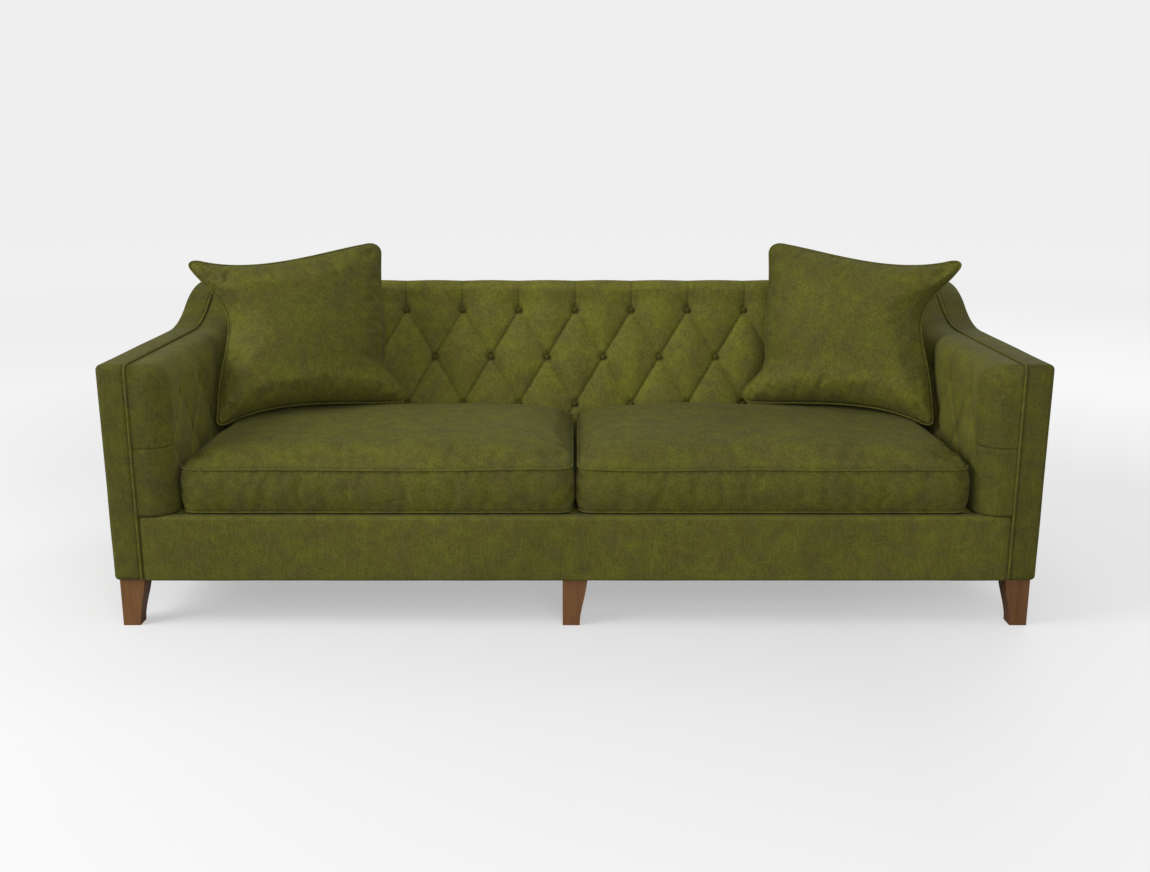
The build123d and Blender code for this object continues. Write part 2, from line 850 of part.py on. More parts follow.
# Legs: square, with a straight front and outer face and two inner faces drawn in to the foot
with BuildPart() as leg:
    for plane, depth, mode in ((Plane.XZ, -leg_top, Mode.ADD), (Plane.YZ, leg_top, Mode.INTERSECT)):
        with BuildSketch(plane):
            with BuildLine():
                taper = leg_top - leg_foot
                Polyline((leg_top, leg_height), (0, leg_height), (0, 0), (leg_foot, 0))
                Spline(
                    (leg_foot, 0),
                    (leg_foot + taper * 0.45, leg_height * 0.5),
                    (leg_top, leg_height),
                    tangents=((0, 1), (0.1, 1)),
                )
            make_face()
        extrude(amount=depth, mode=mode)
    fillet(leg.edges().filter_by(Axis.Z), leg_edge)
    with Locations((leg_top / 2, rail_middle_front - front_face - leg_inset, leg_height)):
        Cylinder(
            (bolt_diameter + bore_play) / 2,
            bolt_in_leg + 1,
            align=(Align.CENTER, Align.CENTER, Align.MAX),
            mode=Mode.SUBTRACT,
        )

leg_front = front_face + leg_inset
leg_left = -half_width + leg_inset
with BuildPart() as leg_front_left:
    with Locations((leg_left, leg_front, 0)):
        add(leg.part)
with BuildPart() as leg_front_centre:
    with Locations((-leg_top / 2, leg_front, 0)):
        add(leg.part)
with BuildPart() as leg_front_right:
    mirror(leg_front_left.part, about=Plane.YZ)
front_legs = {"left": leg_front_left, "centre": leg_front_centre, "right": leg_front_right}
for name, front_leg in front_legs.items():
    with BuildPart() as rear_leg:
        mirror(front_leg.part, about=Plane.XZ)
    save(f"{name}_front_leg", front_leg.part)
    save(f"{name}_rear_leg", rear_leg.part)

# Leg bolts and the insert nuts that hold them in the posts and rails
with BuildPart() as leg_bolts:
    with Locations([(x, y, leg_height - bolt_in_leg) for x, y in bolt_places]):
        Cylinder(
            bolt_diameter / 2,
            bolt_in_leg + dust_cover_thickness + bolt_in_frame,
            align=(Align.CENTER, Align.CENTER, Align.MIN),
        )
save("leg_bolts", leg_bolts.part)

with BuildPart() as insert_nuts:
    with Locations([(x, y, frame_base) for x, y in bolt_places]):
        Cylinder(insert_diameter / 2, insert_length, align=(Align.CENTER, Align.CENTER, Align.MIN))
        Cylinder(
            (bolt_diameter + bore_play) / 2,
            insert_length,
            align=(Align.CENTER, Align.CENTER, Align.MIN),
            mode=Mode.SUBTRACT,
        )
save("insert_nuts", insert_nuts.part)
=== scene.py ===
import math

import bmesh
import bpy
import numpy as np
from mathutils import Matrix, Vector, noise


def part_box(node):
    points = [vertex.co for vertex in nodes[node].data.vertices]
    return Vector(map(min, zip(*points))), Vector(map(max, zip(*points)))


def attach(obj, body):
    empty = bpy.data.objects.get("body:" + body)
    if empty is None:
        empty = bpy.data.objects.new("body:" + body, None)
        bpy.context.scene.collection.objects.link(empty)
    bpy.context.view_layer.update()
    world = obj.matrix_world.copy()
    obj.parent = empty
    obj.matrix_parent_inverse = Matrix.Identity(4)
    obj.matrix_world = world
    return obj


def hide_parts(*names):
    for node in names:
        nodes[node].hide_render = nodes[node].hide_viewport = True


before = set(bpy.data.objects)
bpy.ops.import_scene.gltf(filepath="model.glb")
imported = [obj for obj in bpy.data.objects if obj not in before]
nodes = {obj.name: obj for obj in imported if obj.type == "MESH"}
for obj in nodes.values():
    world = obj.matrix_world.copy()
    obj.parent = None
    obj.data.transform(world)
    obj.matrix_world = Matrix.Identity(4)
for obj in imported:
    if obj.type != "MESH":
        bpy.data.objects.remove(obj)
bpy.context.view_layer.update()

# A four-seater sofa in olive velvet, seen as it stands. X runs along it, -Y is the front, Z is up.
# Left and right are as seen from the front. Lengths are in metres.
sides = (("left", -1), ("right", 1))


# Legs: six turned-in square legs of oiled walnut-coloured hardwood, straight on their outer
# faces and hollowed on the inner ones. A bolt up through each runs into a nut in the frame.
def new_material(name, rough):
    """An empty material with its main shader; returns the material, its tree and the shader."""
    material = bpy.data.materials.new(name)
    material.use_nodes = True
    tree = material.node_tree
    shader = tree.nodes["Principled BSDF"]
    shader.inputs["Roughness"].default_value = rough
    return material, tree, shader


def grain(tree, scale, stretch, detail):
    """Noise laid in the object's own space, drawn out along the axes with a small stretch."""
    place = tree.nodes.new("ShaderNodeTexCoord")
    mapping = tree.nodes.new("ShaderNodeMapping")
    mapping.inputs["Scale"].default_value = stretch
    texture = tree.nodes.new("ShaderNodeTexNoise")
    texture.inputs["Scale"].default_value = scale
    texture.inputs["Detail"].default_value = detail
    tree.links.new(place.outputs["Object"], mapping.inputs["Vector"])
    tree.links.new(mapping.outputs["Vector"], texture.inputs["Vector"])
    return texture.outputs["Fac"]


def tones(tree, value, stops):
    """Turns a value into a colour by way of stops, each a place and a linear colour."""
    ramp = tree.nodes.new("ShaderNodeValToRGB")
    while len(ramp.color_ramp.elements) < len(stops):
        ramp.color_ramp.elements.new(0.5)
    for element, (place, colour) in zip(ramp.color_ramp.elements, stops):
        element.position = place
        element.color = (*colour, 1)
    tree.links.new(value, ramp.inputs["Fac"])
    return ramp.outputs["Color"]


def blended(tree, kind, share, first, second):
    """Lays one colour over another."""
    mix = tree.nodes.new("ShaderNodeMix")
    mix.data_type = "RGBA"
    mix.blend_type = kind
    mix.inputs[0].default_value = share
    tree.links.new(first, mix.inputs[6])
    tree.links.new(second, mix.inputs[7])
    return mix.outputs[2]


def bumped(tree, shader, value, height, strength):
    """Lets a value stand as a fine relief on the surface."""
    bump = tree.nodes.new("ShaderNodeBump")
    bump.inputs["Strength"].default_value = strength
    bump.inputs["Distance"].default_value = height
    tree.links.new(value, bump.inputs["Height"])
    tree.links.new(bump.outputs["Normal"], shader.inputs["Normal"])


def wood(name, shades, rough, stretch):
    """Sawn and planed wood, dark to light, with its grain along the axis with the small stretch."""
    dark, middle, light = shades
    material, tree, shader = new_material(name, rough)
    figure = tones(tree, grain(tree, 9, stretch, 3), [(0.3, dark), (0.5, middle), (0.72, light)])
    pores = tones(tree, grain(tree, 90, stretch, 2), [(0.35, (0.72, 0.7, 0.68)), (0.6, (1, 1, 1))])
    tree.links.new(blended(tree, "MULTIPLY", 0.7, figure, pores), shader.inputs["Base Color"])
    shader.inputs["Specular IOR Level"].default_value = 0.25
    bumped(tree, shader, grain(tree, 120, stretch, 2), 0.0002, 0.3)
    return material


def dress(names, material):
    """Gives CAD pieces that show as they are a material."""
    for name in names:
        nodes[name].data.materials.clear()
        nodes[name].data.materials.append(material)


walnut = ((0.108, 0.046, 0.0145), (0.148, 0.066, 0.022), (0.19, 0.089, 0.032))
leg_wood = wood("leg_wood", walnut, 0.5, (1, 1, 0.09))
leg_names = [f"{place}_{end}_leg" for place in ("left", "centre", "right") for end in ("front", "rear")]
dress(leg_names, leg_wood)

# Leg bolts, insert nuts, springs and spring clips: bright zinc-plated steel, out of sight.
steel, steel_tree, steel_shader = new_material("steel", 0.35)
steel_shader.inputs["Metallic"].default_value = 1.0
steel_tones = tones(
    steel_tree,
    grain(steel_tree, 60, (1, 1, 1), 2),
    [(0.3, (0.42, 0.42, 0.41)), (0.7, (0.56, 0.56, 0.55))],
)
steel_tree.links.new(steel_tones, steel_shader.inputs["Base Color"])
dress(["leg_bolts", "insert_nuts", "seat_springs", "spring_clips"], steel)

# Frame: sawn beech posts, rails and uprights, dowelled and glued, with blocks in the corners.
# The posts stand with their grain upright and the rails lie with it along the sofa.
beech = ((0.34, 0.22, 0.12), (0.42, 0.29, 0.17), (0.5, 0.36, 0.22))
upright_wood = wood("frame_wood_upright", beech, 0.6, (1, 1, 0.06))
rail_wood = wood("frame_wood_rail", beech, 0.6, (0.06, 1, 1))
side_wood = wood("frame_wood_side", beech, 0.6, (1, 0.06, 1))
posts = [f"{side}_{end}_post" for side, _ in sides for end in ("front", "rear")]
uprights = [f"{place}_back_upright" for place in ("left", "centre", "right")]
dress(posts + uprights, upright_wood)
long_rails = ["front_seat_rail", "rear_seat_rail", "back_top_rail", "back_tack_rail"]
dress(long_rails + ["corner_blocks"], rail_wood)
side_rails = [f"{side}_{rail}" for side, _ in sides for rail in ("arm_rail", "side_rail", "cross_rail")]
dress(side_rails, side_wood)

# Webbing: woven brown straps stapled across the back and the arms behind the pads.
webbing, web_tree, web_shader = new_material("webbing", 0.85)
web_tones = tones(
    web_tree,
    grain(web_tree, 700, (0.2, 0.2, 1), 1),
    [(0.35, (0.06, 0.045, 0.03)), (0.65, (0.16, 0.12, 0.08))],
)
web_tree.links.new(web_tones, web_shader.inputs["Base Color"])
dress(["back_webbing", "left_arm_webbing", "right_arm_webbing"], webbing)

# Dust cover: thin black non-woven cloth, stapled flat under the whole frame.
dust_cloth, dust_tree, dust_shader = new_material("dust_cloth", 0.9)
dust_tones = tones(
    dust_tree,
    grain(dust_tree, 500, (1, 1, 1), 3),
    [(0.3, (0.008, 0.008, 0.008)), (0.7, (0.022, 0.022, 0.022))],
)
dust_tree.links.new(dust_tones, dust_shader.inputs["Base Color"])
dress(["dust_cover"], dust_cloth)


# Outside arms: velvet over wadding, glued to the arm frame and stapled under it. Each has a flat
# border 70 mm wide along its front and top, rounded off to a plain outer side.
def grey(level):
    """A colour with no hue."""
    return (level, level, level)


def velvet(name, nap, painted_light_level):
    """Olive cotton velvet. The pile is brushed along the axis with the small nap value. The whole
    piece is painted lighter or darker by its painted light level, for how light falls on it."""
    material, tree, shader = new_material(name, 0.82)
    every_way = (1, 1, 1)
    brown, olive, leaf = (0.0745, 0.069, 0.016), (0.0815, 0.0785, 0.0132), (0.0893, 0.0897, 0.0124)
    cloud = tones(tree, grain(tree, 17, every_way, 8), [(0.34, brown), (0.5, olive), (0.66, leaf)])
    patch_tones = [(0.35, (0.93, 0.915, 0.965)), (0.65, (1.07, 1.085, 1.015))]
    patch = tones(tree, grain(tree, 46, every_way, 5), patch_tones)
    # Random wear in the pile, scaled by the painted light level of the piece.
    wear_and_painted_light_tones = [(0.3, grey(0.92 * painted_light_level)), (0.7, grey(1.08 * painted_light_level))]
    wear_and_painted_light = tones(tree, grain(tree, 3.2, every_way, 1), wear_and_painted_light_tones)
    speck_tones = [(0.3, (0.77, 0.77, 0.8)), (0.7, (1.22, 1.22, 1.18))]
    speck = tones(tree, grain(tree, 170, every_way, 4), speck_tones)
    pile_tones = [(0.3, (0.86, 0.86, 0.84)), (0.7, (1.12, 1.12, 1.14))]
    pile = tones(tree, grain(tree, 330, nap, 2), pile_tones)
    worn_and_painted_light = blended(tree, "MULTIPLY", 1.0, blended(tree, "MULTIPLY", 1.0, cloud, patch), wear_and_painted_light)
    specked = blended(tree, "MULTIPLY", 0.9, worn_and_painted_light, speck)
    brushed = blended(tree, "MULTIPLY", 0.8, specked, pile)
    # Painted light and shade: the colour is multiplied by one plus the shade kept at each point.
    painted_shade = tree.nodes.new("ShaderNodeAttribute")
    painted_shade.attribute_name = "painted_shade"
    lit = tree.nodes.new("ShaderNodeMath")
    lit.inputs[1].default_value = 1.0
    tree.links.new(painted_shade.outputs["Fac"], lit.inputs[0])
    shaded = blended(tree, "MULTIPLY", 1.0, brushed, lit.outputs["Value"])
    tree.links.new(shaded, shader.inputs["Base Color"])
    shader.inputs["Specular IOR Level"].default_value = 0.1
    shader.inputs["Sheen Weight"].default_value = 0.06
    shader.inputs["Sheen Roughness"].default_value = 0.4
    shader.inputs["Sheen Tint"].default_value = (0.8, 0.8, 0.4, 1)
    bumped(tree, shader, grain(tree, 420, nap, 2), 0.0006, 0.25)
    return material


def net(rows, columns, loop_rows=False, loop_columns=False):
    """Four-sided faces over points laid out in rows and columns."""
    faces = []
    for i in range(rows if loop_rows else rows - 1):
        for j in range(columns if loop_columns else columns - 1):
            up = (i + 1) % rows
            over = (j + 1) % columns
            faces.append((i * columns + j, i * columns + over, up * columns + over, up * columns + j))
    return faces


def ends(rows, columns):
    """The two faces that close the ends of a sleeve of points."""
    return [tuple(range(columns)), tuple(range((rows - 1) * columns, rows * columns))]


def new_piece(name, points, faces, material, painted_shade=None):
    """A smooth-shaded piece with its faces turned outward. The shade is painted light and shade kept at
    each point: 0 is plain, -0.5 paints it half as light."""
    mesh = bpy.data.meshes.new(name)
    mesh.from_pydata([tuple(p) for p in np.reshape(points, (-1, 3))], [], faces)
    shell = bmesh.new()
    shell.from_mesh(mesh)
    bmesh.ops.recalc_face_normals(shell, faces=shell.faces)
    shell.to_mesh(mesh)
    shell.free()
    mesh.polygons.foreach_set("use_smooth", [True] * len(mesh.polygons))
    mesh.materials.append(material)
    if painted_shade is not None:
        kept = mesh.attributes.new("painted_shade", "FLOAT", "POINT")
        kept.data.foreach_set("value", np.ravel(painted_shade).astype(np.float32))
    piece = bpy.data.objects.new(name, mesh)
    bpy.context.scene.collection.objects.link(piece)
    return piece


def lumps(points, size, height):
    """Uneven wadding under cloth: how far each point stands out."""
    flat = np.reshape(points, (-1, 3)) / size
    return np.array([noise.noise(p) for p in flat]).reshape(np.shape(points)[:-1]) * height


def settle(piece, body, replaced):
    """Fixes a finished piece to its body, in place of the CAD pieces that it stands for."""
    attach(piece, body)
    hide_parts(*replaced)


# Velvets that differ only in their painted light level: the border velvet is painted 8% darker.
upright_velvet = velvet("velvet_upright", (1, 1, 0.1), 1.0)
border_velvet = velvet("velvet_border", (1, 1, 0.1), 0.92)
front, rear, base = -0.47, 0.47, 0.127
arm_top, back_top = 0.697, 0.801
arm_outer, arm_seam = 1.2, 1.13
scoop_from, scoop_to, scoop_radius, scoop_degrees = 0.1, 0.452, 0.3238, 32.92
high_corner, low_corner = 0.014, 0.013


def turn(centre, radius, start, end, steps):
    """Points round an arc in the side view, by angles in degrees from straight back."""
    angles = np.radians(np.linspace(start, end, steps))
    return [(centre[0] + radius * math.cos(a), centre[1] + radius * math.sin(a)) for a in angles]


def top_line(inset):
    """The side view of an arm from its front up over the top and the scoop to the back corner."""
    corner = high_corner - inset
    low, high = scoop_radius + inset, scoop_radius - inset
    line = turn((front + inset + corner, arm_top - inset - corner), corner, 180, 90, 7)
    line += [(y, arm_top - inset) for y in np.linspace(front + 0.03, scoop_from - 0.012, 34)]
    line += turn((scoop_from, arm_top + scoop_radius), low, -90, -90 + scoop_degrees, 18)
    line += turn((scoop_to, back_top - scoop_radius), high, 90 + scoop_degrees, 90, 18)[1:]
    return line


outline = [(front, z) for z in np.linspace(base + 0.02, arm_top - 0.02, 40)]
outline += top_line(0)
outline += turn((rear - high_corner, back_top - high_corner), high_corner, 90, 0, 7)
outline += [(rear, z) for z in np.linspace(back_top - 0.02, base + 0.02, 48)]
outline += turn((rear - low_corner, base + low_corner), low_corner, 0, -90, 5)
outline += [(y, base) for y in np.linspace(rear - 0.02, front + 0.02, 60)]
outline += turn((front + low_corner, base + low_corner), low_corner, -90, -180, 5)
outline = np.array(outline)
ahead = np.roll(outline, -1, axis=0) - np.roll(outline, 1, axis=0)
outward = np.stack([-ahead[:, 1], ahead[:, 0]], axis=1) / np.linalg.norm(ahead, axis=1)[:, None]
seam_lip = ((0, -0.0028), (0.0012, -0.0012), (0.004, -0.0003))
lip_rows = len(seam_lip)
border_flat, border_swell, outer_round = 0.06, 0.0009, 0.012
strip = [(arm_seam + x, out) for x, out in seam_lip]
for x in np.linspace(arm_seam + 0.008, arm_outer - outer_round, 8):
    strip.append((x, border_swell * math.sin(math.pi * (x - arm_seam) / border_flat)))
for a in np.linspace(0.2, math.pi / 2, 7):
    strip.append((arm_outer - outer_round + outer_round * math.sin(a), -outer_round * (1 - math.cos(a))))
panel_middle, panel_reach, panel_swell, panel_steps = np.array([0.02, 0.42]), 0.29, 0.005, 16
hub_share = 0.985
# Painted shade for the strip's top and front and for the rows beside the cord.
top_painted_shade, front_painted_shade = 0.2, 0.11
beside_cord_painted_shade = (0.3, 0.25, 0.1)
rings = []
for x, out in strip:
    ring = outline + outward * out
    rings.append(np.column_stack([np.full(len(ring), x), ring]))
edge = outline - outward * outer_round
for share in np.linspace(0, 1, panel_steps)[1:]:
    ring = edge + (panel_middle - edge) * min(share, hub_share)
    along, up = ring[:, 0] / rear, (ring[:, 1] - panel_middle[1]) / panel_reach
    swell = panel_swell * np.clip(1 - along**4, 0, 1) ** 2 * np.clip(1 - up**4, 0, 1) ** 2
    rings.append(np.column_stack([arm_outer + swell, ring]))
points = np.array(rings)
points[lip_rows:, :, 0] += lumps(points[lip_rows:], 0.16, 0.0016)
faces = net(len(rings), len(outline), loop_columns=True) + ends(len(rings), len(outline))
# Painted shade: the border strip is painted darker where it faces up and where it faces forward, and darker
# still in the rows beside the cord.
painted_shade = np.zeros((len(rings), len(outline)))
painted_shade[:len(strip)] -= top_painted_shade * np.clip(outward[:, 1], 0, 1) + front_painted_shade * np.clip(-outward[:, 0], 0, 1)
painted_shade[:lip_rows] -= np.array(beside_cord_painted_shade)[:, None]
for side, sign in sides:
    placed = points * np.array([sign, 1, 1])
    outside_arm = new_piece(f"{side}_outside_arm_cover", placed, faces, border_velvet, painted_shade)
    settle(outside_arm, "sofa", [f"{side}_outside_arm"])

# Outside back: velvet over wadding on the back frame, with a flat border 100 mm deep along the
# top. It is tacked along the top rail, drawn down the rear and stapled under the rear seat rail.
back_seam, back_flat, back_swell = 0.37, 0.09, 0.001
back_lip = ((0, -0.004), (0.0012, -0.0016), (0.004, -0.0003))
near_seam = np.array([0, 0.0015, 0.005])
between_seams = np.linspace(-1.115, 1.115, 90)
across = np.concatenate([near_seam - arm_seam, between_seams, (arm_seam - near_seam)[::-1]])
round_back = [(back_seam + y, back_top + z) for y, z in back_lip]
for y in np.linspace(back_seam + 0.01, rear - 0.016, 8):
    round_back.append((y, back_top + back_swell * math.sin(math.pi * (y - back_seam) / back_flat)))
round_back += turn((rear - high_corner, back_top - high_corner), high_corner, 80, 0, 6)
round_back += [(rear, z) for z in np.linspace(back_top - 0.025, base + 0.02, 40)]
round_back += turn((rear - 0.012, base + 0.012), 0.012, 0, -90, 5)
round_back += [(back_seam, base)]
round_back = np.array(round_back)
points = np.zeros((len(across), len(round_back), 3))
points[:, :, 0] = across[:, None]
points[:, :, 1:] = round_back[None, :, :]
roll = 0.004 * np.exp(-(arm_seam - np.abs(across)) / 0.0025)
points[:, :, 1] -= roll[:, None] * (points[:, :, 1] > rear - 0.002)
points[:, :, 2] -= roll[:, None] * (points[:, :, 2] > back_top - 0.003)
loose = lumps(points, 0.2, 0.0018)
points[:, :, 1] += np.where(points[:, :, 1] > rear - 0.001, loose, 0)
faces = net(len(across), len(round_back), loop_columns=True) + ends(len(across), len(round_back))
outside_back = new_piece("outside_back_cover", points, faces, border_velvet)
settle(outside_back, "sofa", ["outside_back"])

# Front border: velvet over thin wadding on the front seat rail, 175 mm high, drawn over the rail
# at the top and stapled under it, between the cords of the two arms.
pad_side, deck = 1.1237, 0.302
border_high, border_bulge, border_depth, under_corner = 0.175, 0.0012, 0.034, 0.006
round_border = [(front + border_depth, deck - 0.0005)]
round_border += turn((front + 0.01, deck - 0.0105), 0.01, 90, 180, 7)
for z in np.linspace(deck - 0.02, base + 0.01, 16):
    round_border.append((front - border_bulge * math.sin(math.pi * (deck - z) / border_high), z))
round_border += turn((front + under_corner, base + under_corner), under_corner, 180, 270, 6)
round_border += [(front + border_depth, base)]
round_border = np.array(round_border)
across = np.linspace(-pad_side, pad_side, 220)
points = np.zeros((len(across), len(round_border), 3))
points[:, :, 0] = across[:, None]
points[:, :, 1:] = round_border[None, :, :]
points[:, 1:-1, 1] += lumps(points[:, 1:-1], 0.11, 0.0016)
points[:, :, 1] += 0.003 * np.exp(-(pad_side - np.abs(across)) / 0.003)[:, None]
faces = net(len(across), len(round_border), loop_columns=True) + ends(len(across), len(round_border))
front_border = new_piece("front_border_cover", points, faces, upright_velvet)
settle(front_border, "sofa", ["front_border"])


# Border piping: a 6 mm cord in a bias-cut velvet strip, sewn into the seam along the inner edge of
# the border, up each arm front, back along its top and the scoop, and across the back.
def cord(name, path, radius, material, closed=False):
    """A round cord along a path of points."""
    sides_round = 10
    path = np.array(path)
    if closed:
        ahead = np.roll(path, -1, axis=0) - np.roll(path, 1, axis=0)
    else:
        ahead = np.gradient(path, axis=0)
    ahead /= np.linalg.norm(ahead, axis=1)[:, None]
    side = Vector(ahead[0]).orthogonal().normalized()
    sides_along = []
    for way in ahead:
        side = side - Vector(way) * side.dot(Vector(way))
        side.normalize()
        sides_along.append(np.array(side))
    if closed:
        over = np.cross(ahead, np.array(sides_along))
        end = Vector(sides_along[-1])
        end = end - Vector(ahead[0]) * end.dot(Vector(ahead[0]))
        twist = math.atan2(float(np.dot(end, over[0])), float(np.dot(end, sides_along[0])))
        angles = -twist * np.linspace(0, 1, len(path))
        sides_along = [s * math.cos(a) + o * math.sin(a) for s, o, a in zip(sides_along, over, angles)]
    sides_along = np.array(sides_along)
    over = np.cross(ahead, sides_along)
    angles = np.linspace(0, 2 * math.pi, sides_round, endpoint=False)
    sideways = sides_along[:, None, :] * np.cos(angles)[None, :, None]
    upward = over[:, None, :] * np.sin(angles)[None, :, None]
    rings = path[:, None, :] + radius * (sideways + upward)
    faces = net(len(path), sides_round, loop_rows=closed, loop_columns=True)
    if not closed:
        faces += ends(len(path), sides_round)
    return new_piece(name, rings, faces, material)


cord_radius, cord_inset, cord_x = 0.0037, 0.0004, 1.12685
back_cord_y, back_cord_end = 0.36685, 1.1235
for side, sign in sides:
    path = turn((front + low_corner, base + low_corner), low_corner - cord_inset, -140, -180, 4)
    path += [(front + cord_inset, z) for z in np.linspace(base + 0.02, arm_top - 0.024, 60)]
    path += top_line(cord_inset)
    path = [(sign * cord_x, y, z) for y, z in path]
    arm_piping = cord(f"{side}_arm_cord", path, cord_radius, upright_velvet)
    settle(arm_piping, "sofa", [f"{side}_arm_piping"])
path = [(x, back_cord_y, back_top - cord_inset) for x in np.linspace(-back_cord_end, back_cord_end, 200)]
back_piping = cord("back_cord", path, cord_radius, upright_velvet)
settle(back_piping, "sofa", ["back_piping"])


# Inside back: a deep-buttoned pad of wadding and velvet on the back webbing, 2.1 m long and raked.
# Pleats run from button to button and up over the crest; each diamond between them swells out.
def relief(along, up, pitch, rise, lift, puff, dimple):
    """How far buttoned cloth stands out from its buttons, and the painted shade in its folds and round its
    buttons. Buttons lie at whole pitches along the top row, where up is 0, and half a pitch over in the
    next one. Straight pleats run up from the top row."""
    a = along / pitch
    b = np.minimum(up, 0) / (2 * rise)
    first = a + b - np.round(a + b)
    second = a - b - np.round(a - b)
    slant = np.where(up > 0, pitch, 1 / math.hypot(1 / pitch, 0.5 / rise))
    falling, rising = first * slant, second * slant
    dome = ((1 - (1 - 2 * np.abs(first)) ** 2) * (1 - (1 - 2 * np.abs(second)) ** 2)) ** 0.95
    crease, soft_crease, dent = 0.0035, 0.006, 0.014
    sharp = (1 - np.exp(-np.abs(rising) / crease)) * (1 - 0.6 * np.exp(-np.abs(falling) / soft_crease))
    even = np.hypot(along - pitch * np.round(a), up - 2 * rise * np.round(up / (2 * rise)))
    half = pitch * (np.floor(a) + 0.5)
    odd = np.hypot(along - half, up - rise * (2 * np.floor(up / (2 * rise)) + 1))
    near = np.where(up > rise * 0.5, even, np.minimum(even, odd))
    stand_out = lift * dome + puff * sharp - dimple * np.exp(-((near / dent) ** 2))
    # Painted shade: a thin dark line along each rising pleat, darker on one side and lighter on the other,
    # a softer line and flank along each falling pleat below the top row, and a dark ring round each button.
    line_width, flank, soft_width, soft_flank = 0.0022, 0.012, 0.0024, 0.014
    round_button, darkest = 0.0115, 0.65
    line = 0.34 * np.exp(-((rising / line_width) ** 2))
    dark = line + np.where(rising < 0, 0.03, -0.03) * np.exp(-np.abs(rising) / flank)
    soft_line = 0.14 * np.exp(-((falling / soft_width) ** 2))
    soft_line += np.where(falling > 0, 0.09, -0.04) * np.exp(-np.abs(falling) / soft_flank)
    dark += np.where(up > 0, 0, soft_line)
    dark += 0.5 * np.exp(-((near / round_button) ** 2))
    return stand_out, -np.minimum(dark, darkest)


def eased(share):
    """A share from 0 to 1, slowed at both ends."""
    return share * share * (3 - 2 * share)


pitch, row_rise, top_row, rake = 0.175, 0.143, 0.726, math.radians(11.9)
row_plane, pad_foot, face_top, back_end = 0.33, deck + 0.001, 0.7825, 1.0497
crest_round, crest_steps, crest_run, crest_full, crest_calm = 0.012, 25, 0.035, 0.0215, 0.88
end_from, end_round, end_fall = 1.028, 0.0217, 0.6
seat_rear, least_pad = 0.231, 0.004
rows_to_rise, half_pitches, rows_below = 28, 12, 82
below_buttons = top_row - row_rise / rows_to_rise * np.arange(rows_below, 0, -1)
front_up = np.concatenate([[pad_foot], below_buttons, np.linspace(top_row, face_top, 13)])
face = [(row_plane + (z - top_row) * math.tan(rake), z) for z in front_up]
hub = (face[-1][0] + crest_round * math.cos(rake), face[-1][1] - crest_round * math.sin(rake))
over_crest = turn(hub, crest_round, 180 - math.degrees(rake), 0, crest_steps + 1)[1:]
rear_face = [(hub[0] + crest_round, z) for z in (0.74, 0.6, 0.45, pad_foot)]
profile = np.array(face + over_crest + rear_face)
turned = np.linspace(math.pi - rake, 0, crest_steps + 1)[1:]
facing = np.concatenate([np.full(len(face), math.pi - rake), turned, np.zeros(len(rear_face))])
fading = np.where(turned < math.pi / 2, np.clip(np.sin(turned) * 1.15, 0, 1) ** 0.8, 1)
stand = np.concatenate([np.ones(len(face)), fading, np.zeros(len(rear_face))])
over_run = front_up[-1] - top_row + crest_run * (math.pi - rake - turned)
run = np.concatenate([front_up - top_row, over_run, np.full(len(rear_face), 0.15)])
steps_along = np.arange(-half_pitches * rows_to_rise, half_pitches * rows_to_rise + 1)
across = np.clip(pitch / 2 / rows_to_rise * steps_along, -back_end, back_end)
along_grid, run_grid = np.meshgrid(across, run, indexing="ij")
height, painted_folds = relief(along_grid, run_grid, pitch, row_rise, lift=0.0145, puff=0.004, dimple=0.009)
crest = eased(np.clip((run_grid - 0.01) / 0.06, 0, 1))
height = height * (1 - crest_calm * crest) + crest_full * crest
height *= 1 - end_fall * crest * np.clip((np.abs(along_grid) - end_from) / end_round, 0, 1) ** 2
height *= stand[None, :]
height = np.minimum(height, np.maximum(profile[None, :, 0] - seat_rear, least_pad))
points = np.zeros((*along_grid.shape, 3))
points[:, :, 0] = along_grid
points[:, :, 1] = profile[None, :, 0] + np.cos(facing)[None, :] * height
points[:, :, 2] = profile[None, :, 1] + np.sin(facing)[None, :] * height
uneven = lumps(points, 0.07, 0.0022)
points[:, :len(face), 1] += uneven[:, :len(face)]
# The painted shade of the folds stops halfway over the crest.
painted_folds[:, len(face) + crest_steps // 2:] = 0
level = height.ravel()
faces = []
for a, b, c, d in net(len(across), len(profile), loop_columns=True):
    folded = level[a] + level[c] <= level[b] + level[d]
    faces += [(a, b, c), (a, c, d)] if folded else [(a, b, d), (b, c, d)]
faces += ends(len(across), len(profile))
# The inside back's velvet is painted 37% lighter, and carries the painted shade of its folds and buttons.
back_velvet = velvet("velvet_inside_back", (1, 1, 0.1), 1.37)
inside_back = new_piece("inside_back_pad", points, faces, back_velvet, painted_folds)
settle(inside_back, "sofa", ["inside_back"])

# Inside arms: buttoned pads of wadding and velvet, 80 mm thick, with a soft round front and top.
# One pleat runs level across the front from the first button; the top dips in beside the cord.
arm_face, round_front, round_top = 1.05, 0.046, 0.05
lower_row, upper_row, first_upper = 0.48, 0.6, -0.3175
pad_front, pad_rear = front + 0.002, 0.3695
wall_steps, low_steps, top_steps = 84, 40, 26
corner_from, corner_reach, lift_from, lift_reach = 0.2, 0.12, 0.3, 0.045
face_full, plain_full, front_full, level_pleat = 0.009, 0.017, 0.002, 0.0042
# Painted shade and light on the arm pads: of the folds, over the top, on the inner face and at the front.
fold_painted_shade, face_painted_light, end_painted_shade, over_painted_shade = 0.75, 0.32, 0.13, 0.2
top_of_arm = np.array(top_line(0.002))


